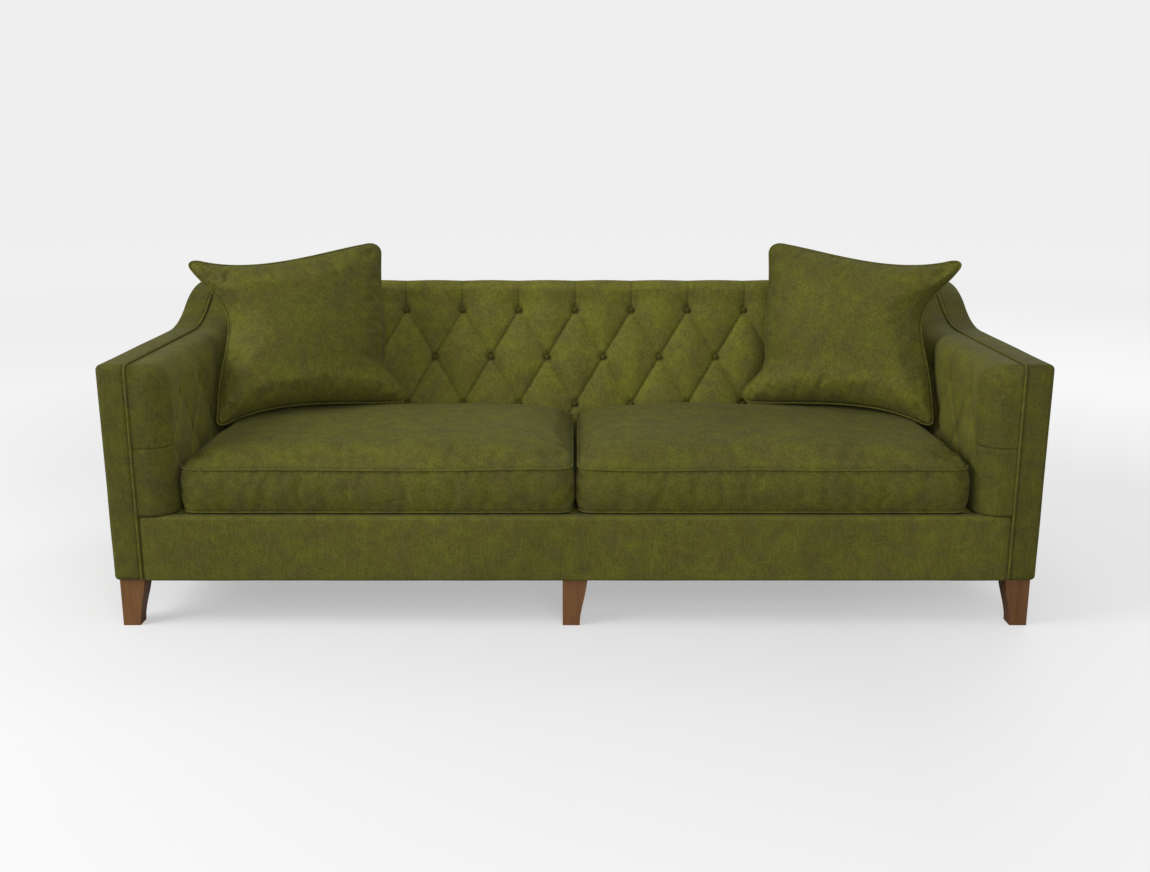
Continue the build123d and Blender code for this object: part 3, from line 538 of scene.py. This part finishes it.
def arm_level(y):
    """The height of the arm's top line at a place along it."""
    return float(np.interp(max(y, scoop_from - 0.2), top_of_arm[:, 0], top_of_arm[:, 1]))


def top_roll(x, in_corner):
    """How wide the pad's top edge rounds off: less beside the cord and in the corner by the back."""
    return round_top * (1 - 0.75 * math.exp((x - pad_side) / 0.016)) * (1 - 0.85 * in_corner)


def part_of(value):
    """A share kept from 0 to 1."""
    return min(1.0, max(0.0, value))


plan = [(pad_side - x, pad_front, 0, -1) for x in np.linspace(0, pad_side - arm_face - round_front, 14)]
for a in np.radians(np.linspace(0, 90, 14))[1:]:
    out_x, out_y = -math.sin(a), -math.cos(a)
    x = arm_face + round_front + round_front * out_x
    y = pad_front + round_front + round_front * out_y
    plan.append((x, y, out_x, out_y))
plan += [(arm_face, y, -1, 0) for y in np.linspace(pad_front + round_front, pad_rear, 190)[1:]]
plan = np.array(plan)
lead = np.count_nonzero(plan[:, 1] < front + 0.06)
seam_y = plan[:, 1].copy()
seam_y[:lead] = np.linspace(front + 0.055, plan[lead, 1], lead, endpoint=False)
levels = np.linspace(0, 1, wall_steps)
low_share = levels[:low_steps] / levels[low_steps - 1]
high_share = (levels[low_steps - 1:] - levels[low_steps - 1]) / (1 - levels[low_steps - 1])
sections = []
for (x, y, out_x, out_y), end_y in zip(plan, seam_y):
    in_corner = part_of((y - corner_from) / corner_reach)
    wall_top = arm_level(y) - top_roll(x, in_corner)
    lower = pad_foot + (lower_row - pad_foot) * (1 - (1 - low_share) ** 1.6)
    upper = lower_row + (wall_top - lower_row) * high_share**1.6
    section = [(x, y, z, out_x, out_y, 0) for z in np.concatenate([lower, upper[1:]])]
    for share in np.linspace(0, 1, top_steps)[1:]:
        tx = x + (pad_side - x) * share
        ty = y + (end_y - y) * share
        from_face, from_front = tx - arm_face, ty - pad_front
        inside = min(from_face, from_front)
        if from_face < round_front and from_front < round_front:
            inside = round_front - math.hypot(round_front - from_face, round_front - from_front)
        roll = top_roll(tx, in_corner)
        inward = part_of(1 - inside / roll)
        rounded = math.sqrt(1 - inward**2)
        pushed_up = eased(part_of((ty - lift_from) / lift_reach)) * min(1.0, (pad_side - tx) / 0.012)
        crest_level = back_top + 0.003 - 0.008 * math.exp((ty - pad_rear) / 0.004)
        level = arm_level(ty)
        z = level + (crest_level - level) * pushed_up - roll * (1 - rounded)
        section.append((tx, ty, z, out_x * inward, out_y * inward, rounded))
    sections.append(section)
sections = np.array(sections)
x, y, z = sections[:, :, 0], sections[:, :, 1], sections[:, :, 2]
row_gap = upper_row - lower_row
height, painted_folds = relief(y - first_upper, z - upper_row, pitch, row_gap, lift=0.007, puff=0.004, dimple=0.004)
height += face_full
behind = eased(np.clip((y - (front + 0.03)) / 0.06, 0, 1))
over = np.clip((z - (arm_top - 0.06)) / 0.05, 0, 1)
calm = behind * (1 - 0.8 * over)
height = height * calm + plain_full * (1 - calm)
onto_front = np.clip((y - pad_front) / round_front, 0, 1)
height = height * onto_front + front_full * (1 - onto_front)
ahead_of = np.clip(1 - (y - (front + 0.055)) / 0.02, 0, 1)
height -= level_pleat * ahead_of * np.exp(-np.abs(z - lower_row) / 0.002)
upward = sections[:, :, 5] ** 2
height *= 1 - upward
# Painted light and shade: the folds are painted darker, the top of the pad darker, its inner face lighter,
# its front darker, and a dark line is painted beside the cord.
painted_shade = painted_folds * calm * fold_painted_shade - over_painted_shade * upward
painted_shade += (1 - upward) * (face_painted_light * behind - end_painted_shade * (1 - behind))
painted_shade -= beside_cord_painted_shade[0] * np.exp(-(pad_side - x) / 0.003)
points = sections[:, :, :3] + sections[:, :, 3:] * height[:, :, None]
points[:, :, 2] -= 0.0012 * np.exp(-(pad_side - points[:, :, 0]) / 0.002)
columns = points.shape[1]
start = len(plan) * columns
faces = net(len(plan), columns)
for i in range(len(plan) - 1):
    faces.append((start + i, start + i + 1, (i + 1) * columns, i * columns))
    faces.append(((i + 1) * columns - 1, (i + 2) * columns - 1, start + i + 1, start + i))
faces.append(tuple(range((len(plan) - 1) * columns, len(plan) * columns)) + (start + len(plan) - 1,))
faces.append((start,) + tuple(range(columns)))
bottom_outer = np.column_stack([np.full(len(plan), pad_side), seam_y, np.full(len(plan), pad_foot)])
points = np.concatenate([points.reshape(-1, 3), bottom_outer])
painted_shade = np.concatenate([painted_shade.ravel(), np.zeros(len(bottom_outer))])
for side, sign in sides:
    placed = points * np.array([sign, 1, 1])
    inside_arm = new_piece(f"{side}_inside_arm_pad", placed, faces, upright_velvet, painted_shade)
    settle(inside_arm, "sofa", [f"{side}_inside_arm"])


# Buttons: covered buttons 15.5 mm wide, a steel shell under the same velvet, drawn in with twine.
def set_out(name, places, look, size, material):
    """Copies one dome-shaped button to each place, looking along one direction."""
    tree = bpy.data.node_groups.new(name, "GeometryNodeTree")
    tree.interface.new_socket("Geometry", in_out="INPUT", socket_type="NodeSocketGeometry")
    width = tree.interface.new_socket("Button width", in_out="INPUT", socket_type="NodeSocketFloat")
    dome = tree.interface.new_socket("Dome height", in_out="INPUT", socket_type="NodeSocketFloat")
    tree.interface.new_socket("Geometry", in_out="OUTPUT", socket_type="NodeSocketGeometry")
    given = tree.nodes.new("NodeGroupInput")
    result = tree.nodes.new("NodeGroupOutput")
    ball = tree.nodes.new("GeometryNodeMeshUVSphere")
    ball.inputs["Segments"].default_value = 24
    ball.inputs["Rings"].default_value = 14
    ball.inputs["Radius"].default_value = 0.5
    scale = tree.nodes.new("ShaderNodeCombineXYZ")
    shaped = tree.nodes.new("GeometryNodeTransform")
    smooth = tree.nodes.new("GeometryNodeSetShadeSmooth")
    aim = tree.nodes.new("FunctionNodeAlignRotationToVector")
    aim.axis = "Z"
    aim.inputs["Vector"].default_value = look
    copies = tree.nodes.new("GeometryNodeInstanceOnPoints")
    real = tree.nodes.new("GeometryNodeRealizeInstances")
    coat = tree.nodes.new("GeometryNodeSetMaterial")
    coat.inputs["Material"].default_value = material
    link = tree.links.new
    link(given.outputs["Button width"], scale.inputs["X"])
    link(given.outputs["Button width"], scale.inputs["Y"])
    link(given.outputs["Dome height"], scale.inputs["Z"])
    link(ball.outputs["Mesh"], shaped.inputs["Geometry"])
    link(scale.outputs["Vector"], shaped.inputs["Scale"])
    link(shaped.outputs["Geometry"], smooth.inputs["Geometry"])
    link(smooth.outputs["Geometry"], copies.inputs["Instance"])
    link(aim.outputs["Rotation"], copies.inputs["Rotation"])
    link(given.outputs["Geometry"], copies.inputs["Points"])
    link(copies.outputs["Instances"], real.inputs["Geometry"])
    link(real.outputs["Geometry"], coat.inputs["Geometry"])
    link(coat.outputs["Geometry"], result.inputs["Geometry"])
    spots = bpy.data.meshes.new(name)
    spots.from_pydata(places, [], [])
    piece = bpy.data.objects.new(name, spots)
    bpy.context.scene.collection.objects.link(piece)
    setting = piece.modifiers.new("Set out", "NODES")
    setting.node_group = tree
    setting[width.identifier] = size[0]
    setting[dome.identifier] = size[1]
    bpy.context.view_layer.update()
    made = piece.evaluated_get(bpy.context.evaluated_depsgraph_get())
    finished = bpy.data.meshes.new_from_object(made)
    piece.modifiers.remove(setting)
    piece.data = finished
    return piece


button_size, button_sink, last_button, arm_button_x = (0.0155, 0.009), 0.002, 1.03, 1.047
# The buttons' velvet is painted 30% darker, as painted shade in the dimples they sit in.
button_velvet = velvet("velvet_button", (1, 1, 0.1), 0.7)
spots = []
for row in range(3):
    z = top_row - row * row_rise
    y = row_plane + (z - top_row) * math.tan(rake) - button_sink
    shift = 0.5 if row == 1 else 0
    for column in range(-6, 7):
        x = (column + shift) * pitch
        if abs(x) < last_button:
            spots.append((x, y, z))
back_look = (0, -math.cos(rake), math.sin(rake))
back_buttons = set_out("back_button_set", spots, back_look, button_size, button_velvet)
settle(back_buttons, "sofa", ["back_buttons"])
for side, sign in sides:
    spots = [(sign * arm_button_x, first_upper - pitch / 2 + k * pitch, lower_row) for k in range(3)]
    spots += [(sign * arm_button_x, first_upper + k * pitch, upper_row) for k in range(3)]
    arm_buttons = set_out(f"{side}_arm_button_set", spots, (-sign, 0, 0), button_size, button_velvet)
    settle(arm_buttons, "sofa", [f"{side}_arm_buttons"])


# Seat deck: the platform under the loose cushions, velvet at its edges over felt on the springs.
def edge_of(rows, columns):
    """The numbers of the points round the edge of a net, in order."""
    order = [i * columns for i in range(rows)]
    order += [(rows - 1) * columns + j for j in range(1, columns)]
    order += [i * columns + columns - 1 for i in range(rows - 2, -1, -1)]
    return order + list(range(columns - 2, 0, -1))


low, high = (np.array(c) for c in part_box("seat_deck"))
steps_x, steps_y = 120, 40
deck_round, deck_fall = 0.004, 0.003
xs, ys = np.linspace(low[0], high[0], steps_x), np.linspace(low[1], high[1], steps_y)
grid_x, grid_y = np.meshgrid(xs, ys, indexing="ij")
upper = np.stack([grid_x, grid_y, np.full_like(grid_x, high[2] - 0.0005)], axis=2)
from_edge = np.minimum.reduce([grid_x - low[0], high[0] - grid_x, grid_y - low[1], high[1] - grid_y])
upper[:, :, 2] -= deck_fall * np.exp(-from_edge / deck_round)
under = upper.copy()
under[:, :, 2] = low[2]
faces = net(steps_x, steps_y)
count = steps_x * steps_y
faces += [tuple(i + count for i in face_points[::-1]) for face_points in net(steps_x, steps_y)]
rim_order = edge_of(steps_x, steps_y)
for one, two in zip(rim_order, rim_order[1:] + rim_order[:1]):
    faces.append((one, two, two + count, one + count))
# The deck's velvet is painted a fifth darker by its painted light level.
deck_velvet = velvet("velvet_deck", (1, 0.1, 1), 0.8)
points = np.concatenate([upper.reshape(-1, 3), under.reshape(-1, 3)])
seat_deck = new_piece("seat_deck_cover", points, faces, deck_velvet)
settle(seat_deck, "sofa", ["seat_deck"])

# Seat cushions: two loose boxed cushions, foam in wadding under velvet, with a crowned top and a
# 5 mm cord along the upper and lower seams. Each lies on the deck against the back and an arm.
# The case is sewn flat-sided and blown up by a cloth simulation, held along its seams.
seat_length, seat_depth, seat_corner = 1.004, 0.661, 0.034
seat_bottom, seat_seam, seat_crown = 0.3045, 0.4233, 0.046
seat_middle = (0.512, -0.1155)
boxing_bulge, crown_rise, touching = 0.005, 0.02, 0.0012
steps_x, steps_y, box_steps = 102, 68, 14
pressed_from, press_slope, press_depth = (1.016, -0.095), 0.52, 0.004
press_width, press_length, press_fade = 0.05, 0.62, 0.06
sag_depth, sag_reach = 0.0035, 0.1
# Painted shade on the boxing, along the seams and beside them.
boxing_painted_shade, seam_painted_shade, by_seam_painted_shade = 0.06, 0.2, 0.12
welt_radius, welt_out, welt_up = 0.0027, 0.002, 0.003


def seat_rim(s, t, half_x, half_y, corner):
    """Brings a place in the square from -1 to 1 to the same place in a rectangle with round corners."""
    reach = max(abs(s), abs(t), 1e-6)
    px, py = half_x * s / reach, half_y * t / reach
    cx, cy = half_x - corner, half_y - corner
    if abs(px) > cx and abs(py) > cy:
        dx, dy = abs(px) - cx, abs(py) - cy
        far = corner / math.hypot(dx, dy)
        px, py = math.copysign(cx + dx * far, px), math.copysign(cy + dy * far, py)
    return px * reach, py * reach


def blown_up(points, faces, held, pressure, slack, cap):
    """A sewn case after a cloth simulation from inside. The held points stay where they are, the
    cloth is cut larger by the slack, and no point moves further than the cap."""
    case = new_piece("sewn_case", points, faces, upright_velvet)
    group = case.vertex_groups.new(name="held")
    group.add([int(i) for i in held], 1.0, "REPLACE")
    swelling = case.modifiers.new("Swelling", "CLOTH")
    fabric = swelling.settings
    fabric.quality = 6
    fabric.mass = 0.2
    fabric.tension_stiffness = 20
    fabric.compression_stiffness = 20
    fabric.shear_stiffness = 8
    fabric.bending_stiffness = 0.4
    fabric.shrink_min = -slack
    fabric.vertex_group_mass = "held"
    fabric.use_pressure = True
    fabric.uniform_pressure_force = pressure
    fabric.effector_weights.gravity = 0
    swelling.collision_settings.use_collision = False
    for moment in range(1, 21):
        bpy.context.scene.frame_set(moment)
    made = case.evaluated_get(bpy.context.evaluated_depsgraph_get())
    moved = np.array([v.co[:] for v in made.data.vertices]) - points
    bpy.context.scene.frame_set(1)
    bpy.data.objects.remove(case)
    far = np.linalg.norm(moved, axis=1)[:, None]
    return points + moved * np.minimum(1, cap / np.maximum(far, 1e-9))


half_x, half_y = seat_length / 2, seat_depth / 2
upper, under = [], []
for s in np.linspace(-1, 1, steps_x):
    for t in np.linspace(-1, 1, steps_y):
        px, py = seat_rim(s, t, half_x, half_y, seat_corner)
        fullness = ((1 - abs(s) ** 5) * (1 - abs(t) ** 3.8)) ** 0.5
        upper.append((px, py, seat_seam + seat_crown * fullness))
        under.append((px, py, seat_bottom))
upper, under = np.array(upper), np.array(under)
count = steps_x * steps_y
rim_order = edge_of(steps_x, steps_y)
rim = upper[rim_order]
past_corner = np.abs(rim[:, :2]) - [half_x - seat_corner, half_y - seat_corner]
around = np.sign(rim[:, :2]) * np.clip(past_corner, 0, None)
around /= np.maximum(np.linalg.norm(around, axis=1), 1e-6)[:, None]
box_rows = []
for share in np.linspace(0, 1, box_steps)[1:-1]:
    row = rim.copy()
    row[:, 2] = seat_bottom + (seat_seam - seat_bottom) * (1 - share)
    row[:, :2] += around * boxing_bulge * math.sin(math.pi * share) ** 0.7
    box_rows.append(row)
case_points = np.concatenate([upper, under] + box_rows)
case_faces = net(steps_x, steps_y)
case_faces += [tuple(i + count for i in face_points[::-1]) for face_points in net(steps_x, steps_y)]
bands = [rim_order]
for k in range(len(box_rows)):
    first = 2 * count + k * len(rim)
    bands.append(list(range(first, first + len(rim))))
bands.append([i + count for i in rim_order])
for band, below in zip(bands, bands[1:]):
    for i in range(len(rim)):
        j = (i + 1) % len(rim)
        case_faces.append((band[i], band[j], below[j], below[i]))
held = rim_order + list(range(count, 2 * count))
case_points = blown_up(case_points, case_faces, held, pressure=4.0, slack=0.03, cap=0.009)
rise = np.clip((case_points[:, 2] - seat_seam) / crown_rise, 0, 1)


def sag(places):
    """How far a worn seat cushion hangs down along its front seam, most in the middle of its length."""
    across = (np.abs(places[:, 0]) - seat_middle[0]) / half_x
    back = places[:, 1] - seat_middle[1] + half_y
    share = np.clip((places[:, 2] - seat_bottom) / (seat_seam - seat_bottom), 0, 1)
    wave = sag_depth * (1 - across**4) + lumps(places * np.array([1, 0, 0]), 0.3, sag_depth)
    return wave * share * np.exp(-np.clip(back, 0, None) / sag_reach)


# The seat velvet is painted 6% darker. Painted shade: the boxing is painted darker, and darker still along
# the seams and in the rows beside them.
seat_velvet = velvet("velvet_seat", (1, 0.1, 0.6), 0.94)
seat_shade = np.zeros(len(case_points))
seat_shade[2 * count:] = -boxing_painted_shade
seat_shade[bands[0] + bands[-1]] = -seam_painted_shade
seat_shade[bands[1] + bands[-2]] = -by_seam_painted_shade
for side, sign in sides:
    body = f"{side}_seat_cushion"
    middle = np.array([sign * seat_middle[0], seat_middle[1], 0])
    points = case_points + middle
    points[:, 2] += (lumps(points, 0.18, 0.004) + lumps(points, 0.05, 0.0012)) * rise
    points[:, 0] = sign * np.maximum(sign * points[:, 0], touching)
    points[:, 2] -= sag(points)
    from_outer = points[:, :2] - np.array([sign * pressed_from[0], pressed_from[1]])
    press_way = np.array([-sign, press_slope]) / math.hypot(1, press_slope)
    press_off = np.abs(from_outer[:, 0] * press_way[1] - from_outer[:, 1] * press_way[0])
    press_along = from_outer @ press_way
    pressed = np.exp(-((press_off / press_width) ** 2))
    pressed *= np.clip((press_length - press_along) / press_fade, 0, 1)
    points[:, 2] -= press_depth * pressed * rise
    seat_cushion = new_piece(f"{side}_seat_cushion_case", points, case_faces, seat_velvet, seat_shade)
    settle(seat_cushion, body, [f"{body}_cover", f"{body}_core"])
    seams = []
    for level in (seat_seam, seat_bottom + welt_up):
        path = rim + middle + np.column_stack([around * welt_out, np.zeros(len(rim))])
        path[:, 2] = level
        path[:, 2] -= sag(path)
        seams.append(cord(f"{side}_seat_cord", path, welt_radius, seat_velvet, closed=True))
    with bpy.context.temp_override(active_object=seams[0], selected_editable_objects=seams):
        bpy.ops.object.join()
    settle(seams[0], body, [f"{body}_welt"])

# Scatter cushions: two loose feather cushions, about 580 by 500 mm and 176 mm thick, in velvet cases
# with a 6 mm cord in the seam, blown up by the same cloth simulation. They stand on the seats and lean
# back between arm and back; their sides are drawn in, most where the arm presses.
corners = {
    "bottom_outer": (-1.016, -0.095, 0.436),
    "bottom_inner": (-0.499, 0.169, 0.472),
    "top_outer": (-1.107, 0.029, 0.919),
    "top_inner": (-0.589, 0.268, 0.939),
}
corners = {name: np.array(place) for name, place in corners.items()}
scatter_thickness, scatter_corner, scatter_pinch = 0.152, 0.14, 0.4
below_full, above_full, smoothings = 5, 2, 12
low_from, low_reach, low_painted_light, edge_painted_shade = -0.4, 0.4, 0.32, 0.25
scatter_cord_radius = 0.003
across_way = corners["bottom_inner"] - corners["bottom_outer"]
up_way = corners["top_outer"] - corners["bottom_outer"]
across_way, up_way = across_way / np.linalg.norm(across_way), up_way / np.linalg.norm(up_way)
facing_way = np.cross(across_way, up_way)


def drawn_in(share, peak, depth, sharpness):
    """How far a side is drawn in between its two corners, most at the peak."""
    first, last = sharpness * peak, sharpness * (1 - peak)
    return depth * (share / peak) ** first * ((1 - share) / (1 - peak)) ** last


def joined(one, other, share):
    """A place on the straight line from one corner to another."""
    return corners[one] * (1 - share) + corners[other] * share


def scatter_place(u, v):
    """A place in the middle plane of the cushion, from 0 to 1 across and up."""
    bottom = joined("bottom_outer", "bottom_inner", u)
    top = joined("top_outer", "top_inner", u)
    flat = bottom * (1 - v) + top * v
    bottom = bottom + up_way * drawn_in(u, 0.32, 0.042, 2.4)
    top = top - up_way * drawn_in(u, 0.34, 0.04, 2.4)
    outer_draw = drawn_in(v, 0.65, 0.064, 7) + drawn_in(v, 0.42, 0.03, 3)
    outer = joined("bottom_outer", "top_outer", v) + across_way * outer_draw
    inner_draw = drawn_in(v, 0.5, 0.034, 2.5) + drawn_in(v, 0.24, 0.034, 18)
    inner = joined("bottom_inner", "top_inner", v) - across_way * inner_draw
    return bottom * (1 - v) + top * v + outer * (1 - u) + inner * u - flat


steps_u, steps_v = 96, 82
middle_plane = np.zeros((steps_u, steps_v, 3))
puff = np.zeros((steps_u, steps_v, 1))
for i, s in enumerate(np.linspace(-1, 1, steps_u)):
    for j, r in enumerate(np.linspace(-1, 1, steps_v)):
        px, py = seat_rim(s, r, 1, 1, scatter_corner)
        middle_plane[i, j] = scatter_place((px + 1) / 2, (py + 1) / 2)
        upright_part = 1 - abs(r) ** (below_full if r < 0 else above_full)
        puff[i, j] = scatter_thickness / 2 * ((1 - s * s) * upright_part) ** scatter_pinch
face_side = middle_plane + facing_way * puff
rear_side = middle_plane - facing_way * puff
for soft in (face_side, rear_side):
    for _ in range(smoothings):
        around_each = soft[2:, 1:-1] + soft[:-2, 1:-1] + soft[1:-1, 2:] + soft[1:-1, :-2]
        soft[1:-1, 1:-1] = soft[1:-1, 1:-1] * 0.5 + around_each * 0.125
count = steps_u * steps_v
rear_count = (steps_u - 2) * (steps_v - 2)
number_under = np.arange(count).reshape(steps_u, steps_v)
number_under[1:-1, 1:-1] = count + np.arange(rear_count).reshape(steps_u - 2, steps_v - 2)
number_under = number_under.ravel()
faces = net(steps_u, steps_v)
faces += [tuple(int(number_under[k]) for k in face_points[::-1]) for face_points in net(steps_u, steps_v)]
case_points = np.concatenate([face_side.reshape(-1, 3), rear_side[1:-1, 1:-1].reshape(-1, 3)])
case_edge = edge_of(steps_u, steps_v)
case_points = blown_up(case_points, faces, case_edge, pressure=4.0, slack=0.03, cap=0.012)
# Painted light and shade: the lowest part of the face, which turns down away from the light, is painted
# lighter, and the seam round the edge is painted darker.
scatter_shade = np.zeros(len(case_points))
low_down = np.clip((low_from - np.linspace(-1, 1, steps_v)) / low_reach, 0, 1)
scatter_shade[:count] = np.tile(low_painted_light * low_down, steps_u)
scatter_shade[case_edge] = -edge_painted_shade
for side, sign in sides:
    body = f"{side}_scatter_cushion"
    placed = case_points * np.array([-sign, 1, 1])
    scatter = new_piece(f"{side}_scatter_case", placed, faces, upright_velvet, scatter_shade)
    settle(scatter, body, [f"{body}_cover", f"{body}_pad"])
    edge_path = placed[case_edge]
    scatter_cord = cord(f"{side}_scatter_cord", edge_path, scatter_cord_radius, upright_velvet, closed=True)
    settle(scatter_cord, body, [f"{body}_piping"])


# Floor and light: a wide pale floor that runs out into a pale surround, four broad lamps,
# from the left, overhead, in front and behind on the right, and weak even daylight. The floor glows for
# the camera alone, and has a painted pool of light to the right of the sofa, over the left lamp's shadow.
def ranged(tree, value, start, end, low=0.0, high=1.0):
    """Runs evenly from low to high while a value goes from start to end."""
    span = tree.nodes.new("ShaderNodeMapRange")
    span.inputs["From Min"].default_value = start
    span.inputs["From Max"].default_value = end
    span.inputs["To Min"].default_value = low
    span.inputs["To Max"].default_value = high
    tree.links.new(value, span.inputs["Value"])
    return span.outputs["Result"]


floor_reach, floor_grey, surround_grey, daylight = 60.0, 0.36, 0.86, 0.45
floor_corners = [(x * floor_reach, y * floor_reach, 0) for x, y in ((-1, -1), (1, -1), (1, 1), (-1, 1))]
floor_mesh = bpy.data.meshes.new("floor")
floor_mesh.from_pydata(floor_corners, [], [(0, 1, 2, 3)])
floor = bpy.data.objects.new("floor", floor_mesh)
bpy.context.scene.collection.objects.link(floor)
floor_paint, floor_tree, floor_shader = new_material("floor_paint", 1.0)
floor_shader.inputs["Base Color"].default_value = (*grey(floor_grey), 1)
floor_shader.inputs["Specular IOR Level"].default_value = 0
floor_place = floor_tree.nodes.new("ShaderNodeTexCoord")
floor_length = floor_tree.nodes.new("ShaderNodeVectorMath")
floor_length.operation = "LENGTH"
floor_tree.links.new(floor_place.outputs["Object"], floor_length.inputs[0])
floor_axes = floor_tree.nodes.new("ShaderNodeSeparateXYZ")
floor_tree.links.new(floor_place.outputs["Object"], floor_axes.inputs["Vector"])
far_glow = surround_grey - floor_grey * daylight
glow_tones = [(0, grey(0.42)), (0.15, grey(0.45)), (0.35, grey(0.61)), (1, grey(far_glow))]
glow = tones(floor_tree, ranged(floor_tree, floor_length.outputs["Value"], 1.0, 9.0), glow_tones)
# Painted light: the floor is painted lighter to the right of the sofa, where the left lamp casts its
# shadow, fading out further away.
to_right = ranged(floor_tree, floor_axes.outputs["X"], 0.7, 1.5, high=0.08)
fade = ranged(floor_tree, floor_length.outputs["Value"], 1.6, 4.5, low=1.0, high=0.0)
side_painted_light = blended(floor_tree, "MULTIPLY", 1.0, to_right, fade)
glow = blended(floor_tree, "ADD", 1.0, glow, side_painted_light)
floor_tree.links.new(glow, floor_shader.inputs["Emission Color"])
seen = floor_tree.nodes.new("ShaderNodeLightPath")
floor_tree.links.new(seen.outputs["Is Camera Ray"], floor_shader.inputs["Emission Strength"])
floor_mesh.materials.append(floor_paint)
world = bpy.data.worlds.new("daylight")
bpy.context.scene.world = world
world.use_nodes = True
sky = world.node_tree
backdrop = sky.nodes["Background"]
backdrop.inputs["Color"].default_value = (1, 1, 1, 1)
sky_seen = sky.nodes.new("ShaderNodeLightPath")
sky_level = ranged(sky, sky_seen.outputs["Is Camera Ray"], 0.0, 1.0, low=daylight, high=surround_grey)
sky.links.new(sky_level, backdrop.inputs["Strength"])
lamp_target = Vector((0, 0, 0.4))
lamps = (
    ("left", (-4.0, -1.6, 2.6), 2.4, 172),
    ("overhead", (0.3, -1.2, 4.4), 3.0, 20),
    ("front", (0.8, -4.6, 2.2), 2.4, 102),
    ("rear", (3.2, 3.6, 4.0), 2.4, 68),
)
for name, place, size, power in lamps:
    lamp = bpy.data.lights.new(name, "AREA")
    lamp.size = size
    lamp.energy = power
    lamp_object = bpy.data.objects.new(name, lamp)
    lamp_object.location = place
    lamp_object.rotation_euler = (lamp_target - Vector(place)).to_track_quat("-Z", "Y").to_euler()
    bpy.context.scene.collection.objects.link(lamp_object)

# Camera: 450 mm above the back, straight in front of the middle, tilted down 13.7 degrees.
camera = bpy.data.cameras.new("camera")
camera.lens = 38.65
camera.sensor_width = 36
camera_object = bpy.data.objects.new("camera", camera)
camera_object.location = (0, -3.5015, 1.255)
camera_object.rotation_euler = (math.radians(76.3), 0, 0)
bpy.context.scene.collection.objects.link(camera_object)
bpy.context.scene.camera = camera_object
bpy.context.scene.view_settings.view_transform = "Standard"
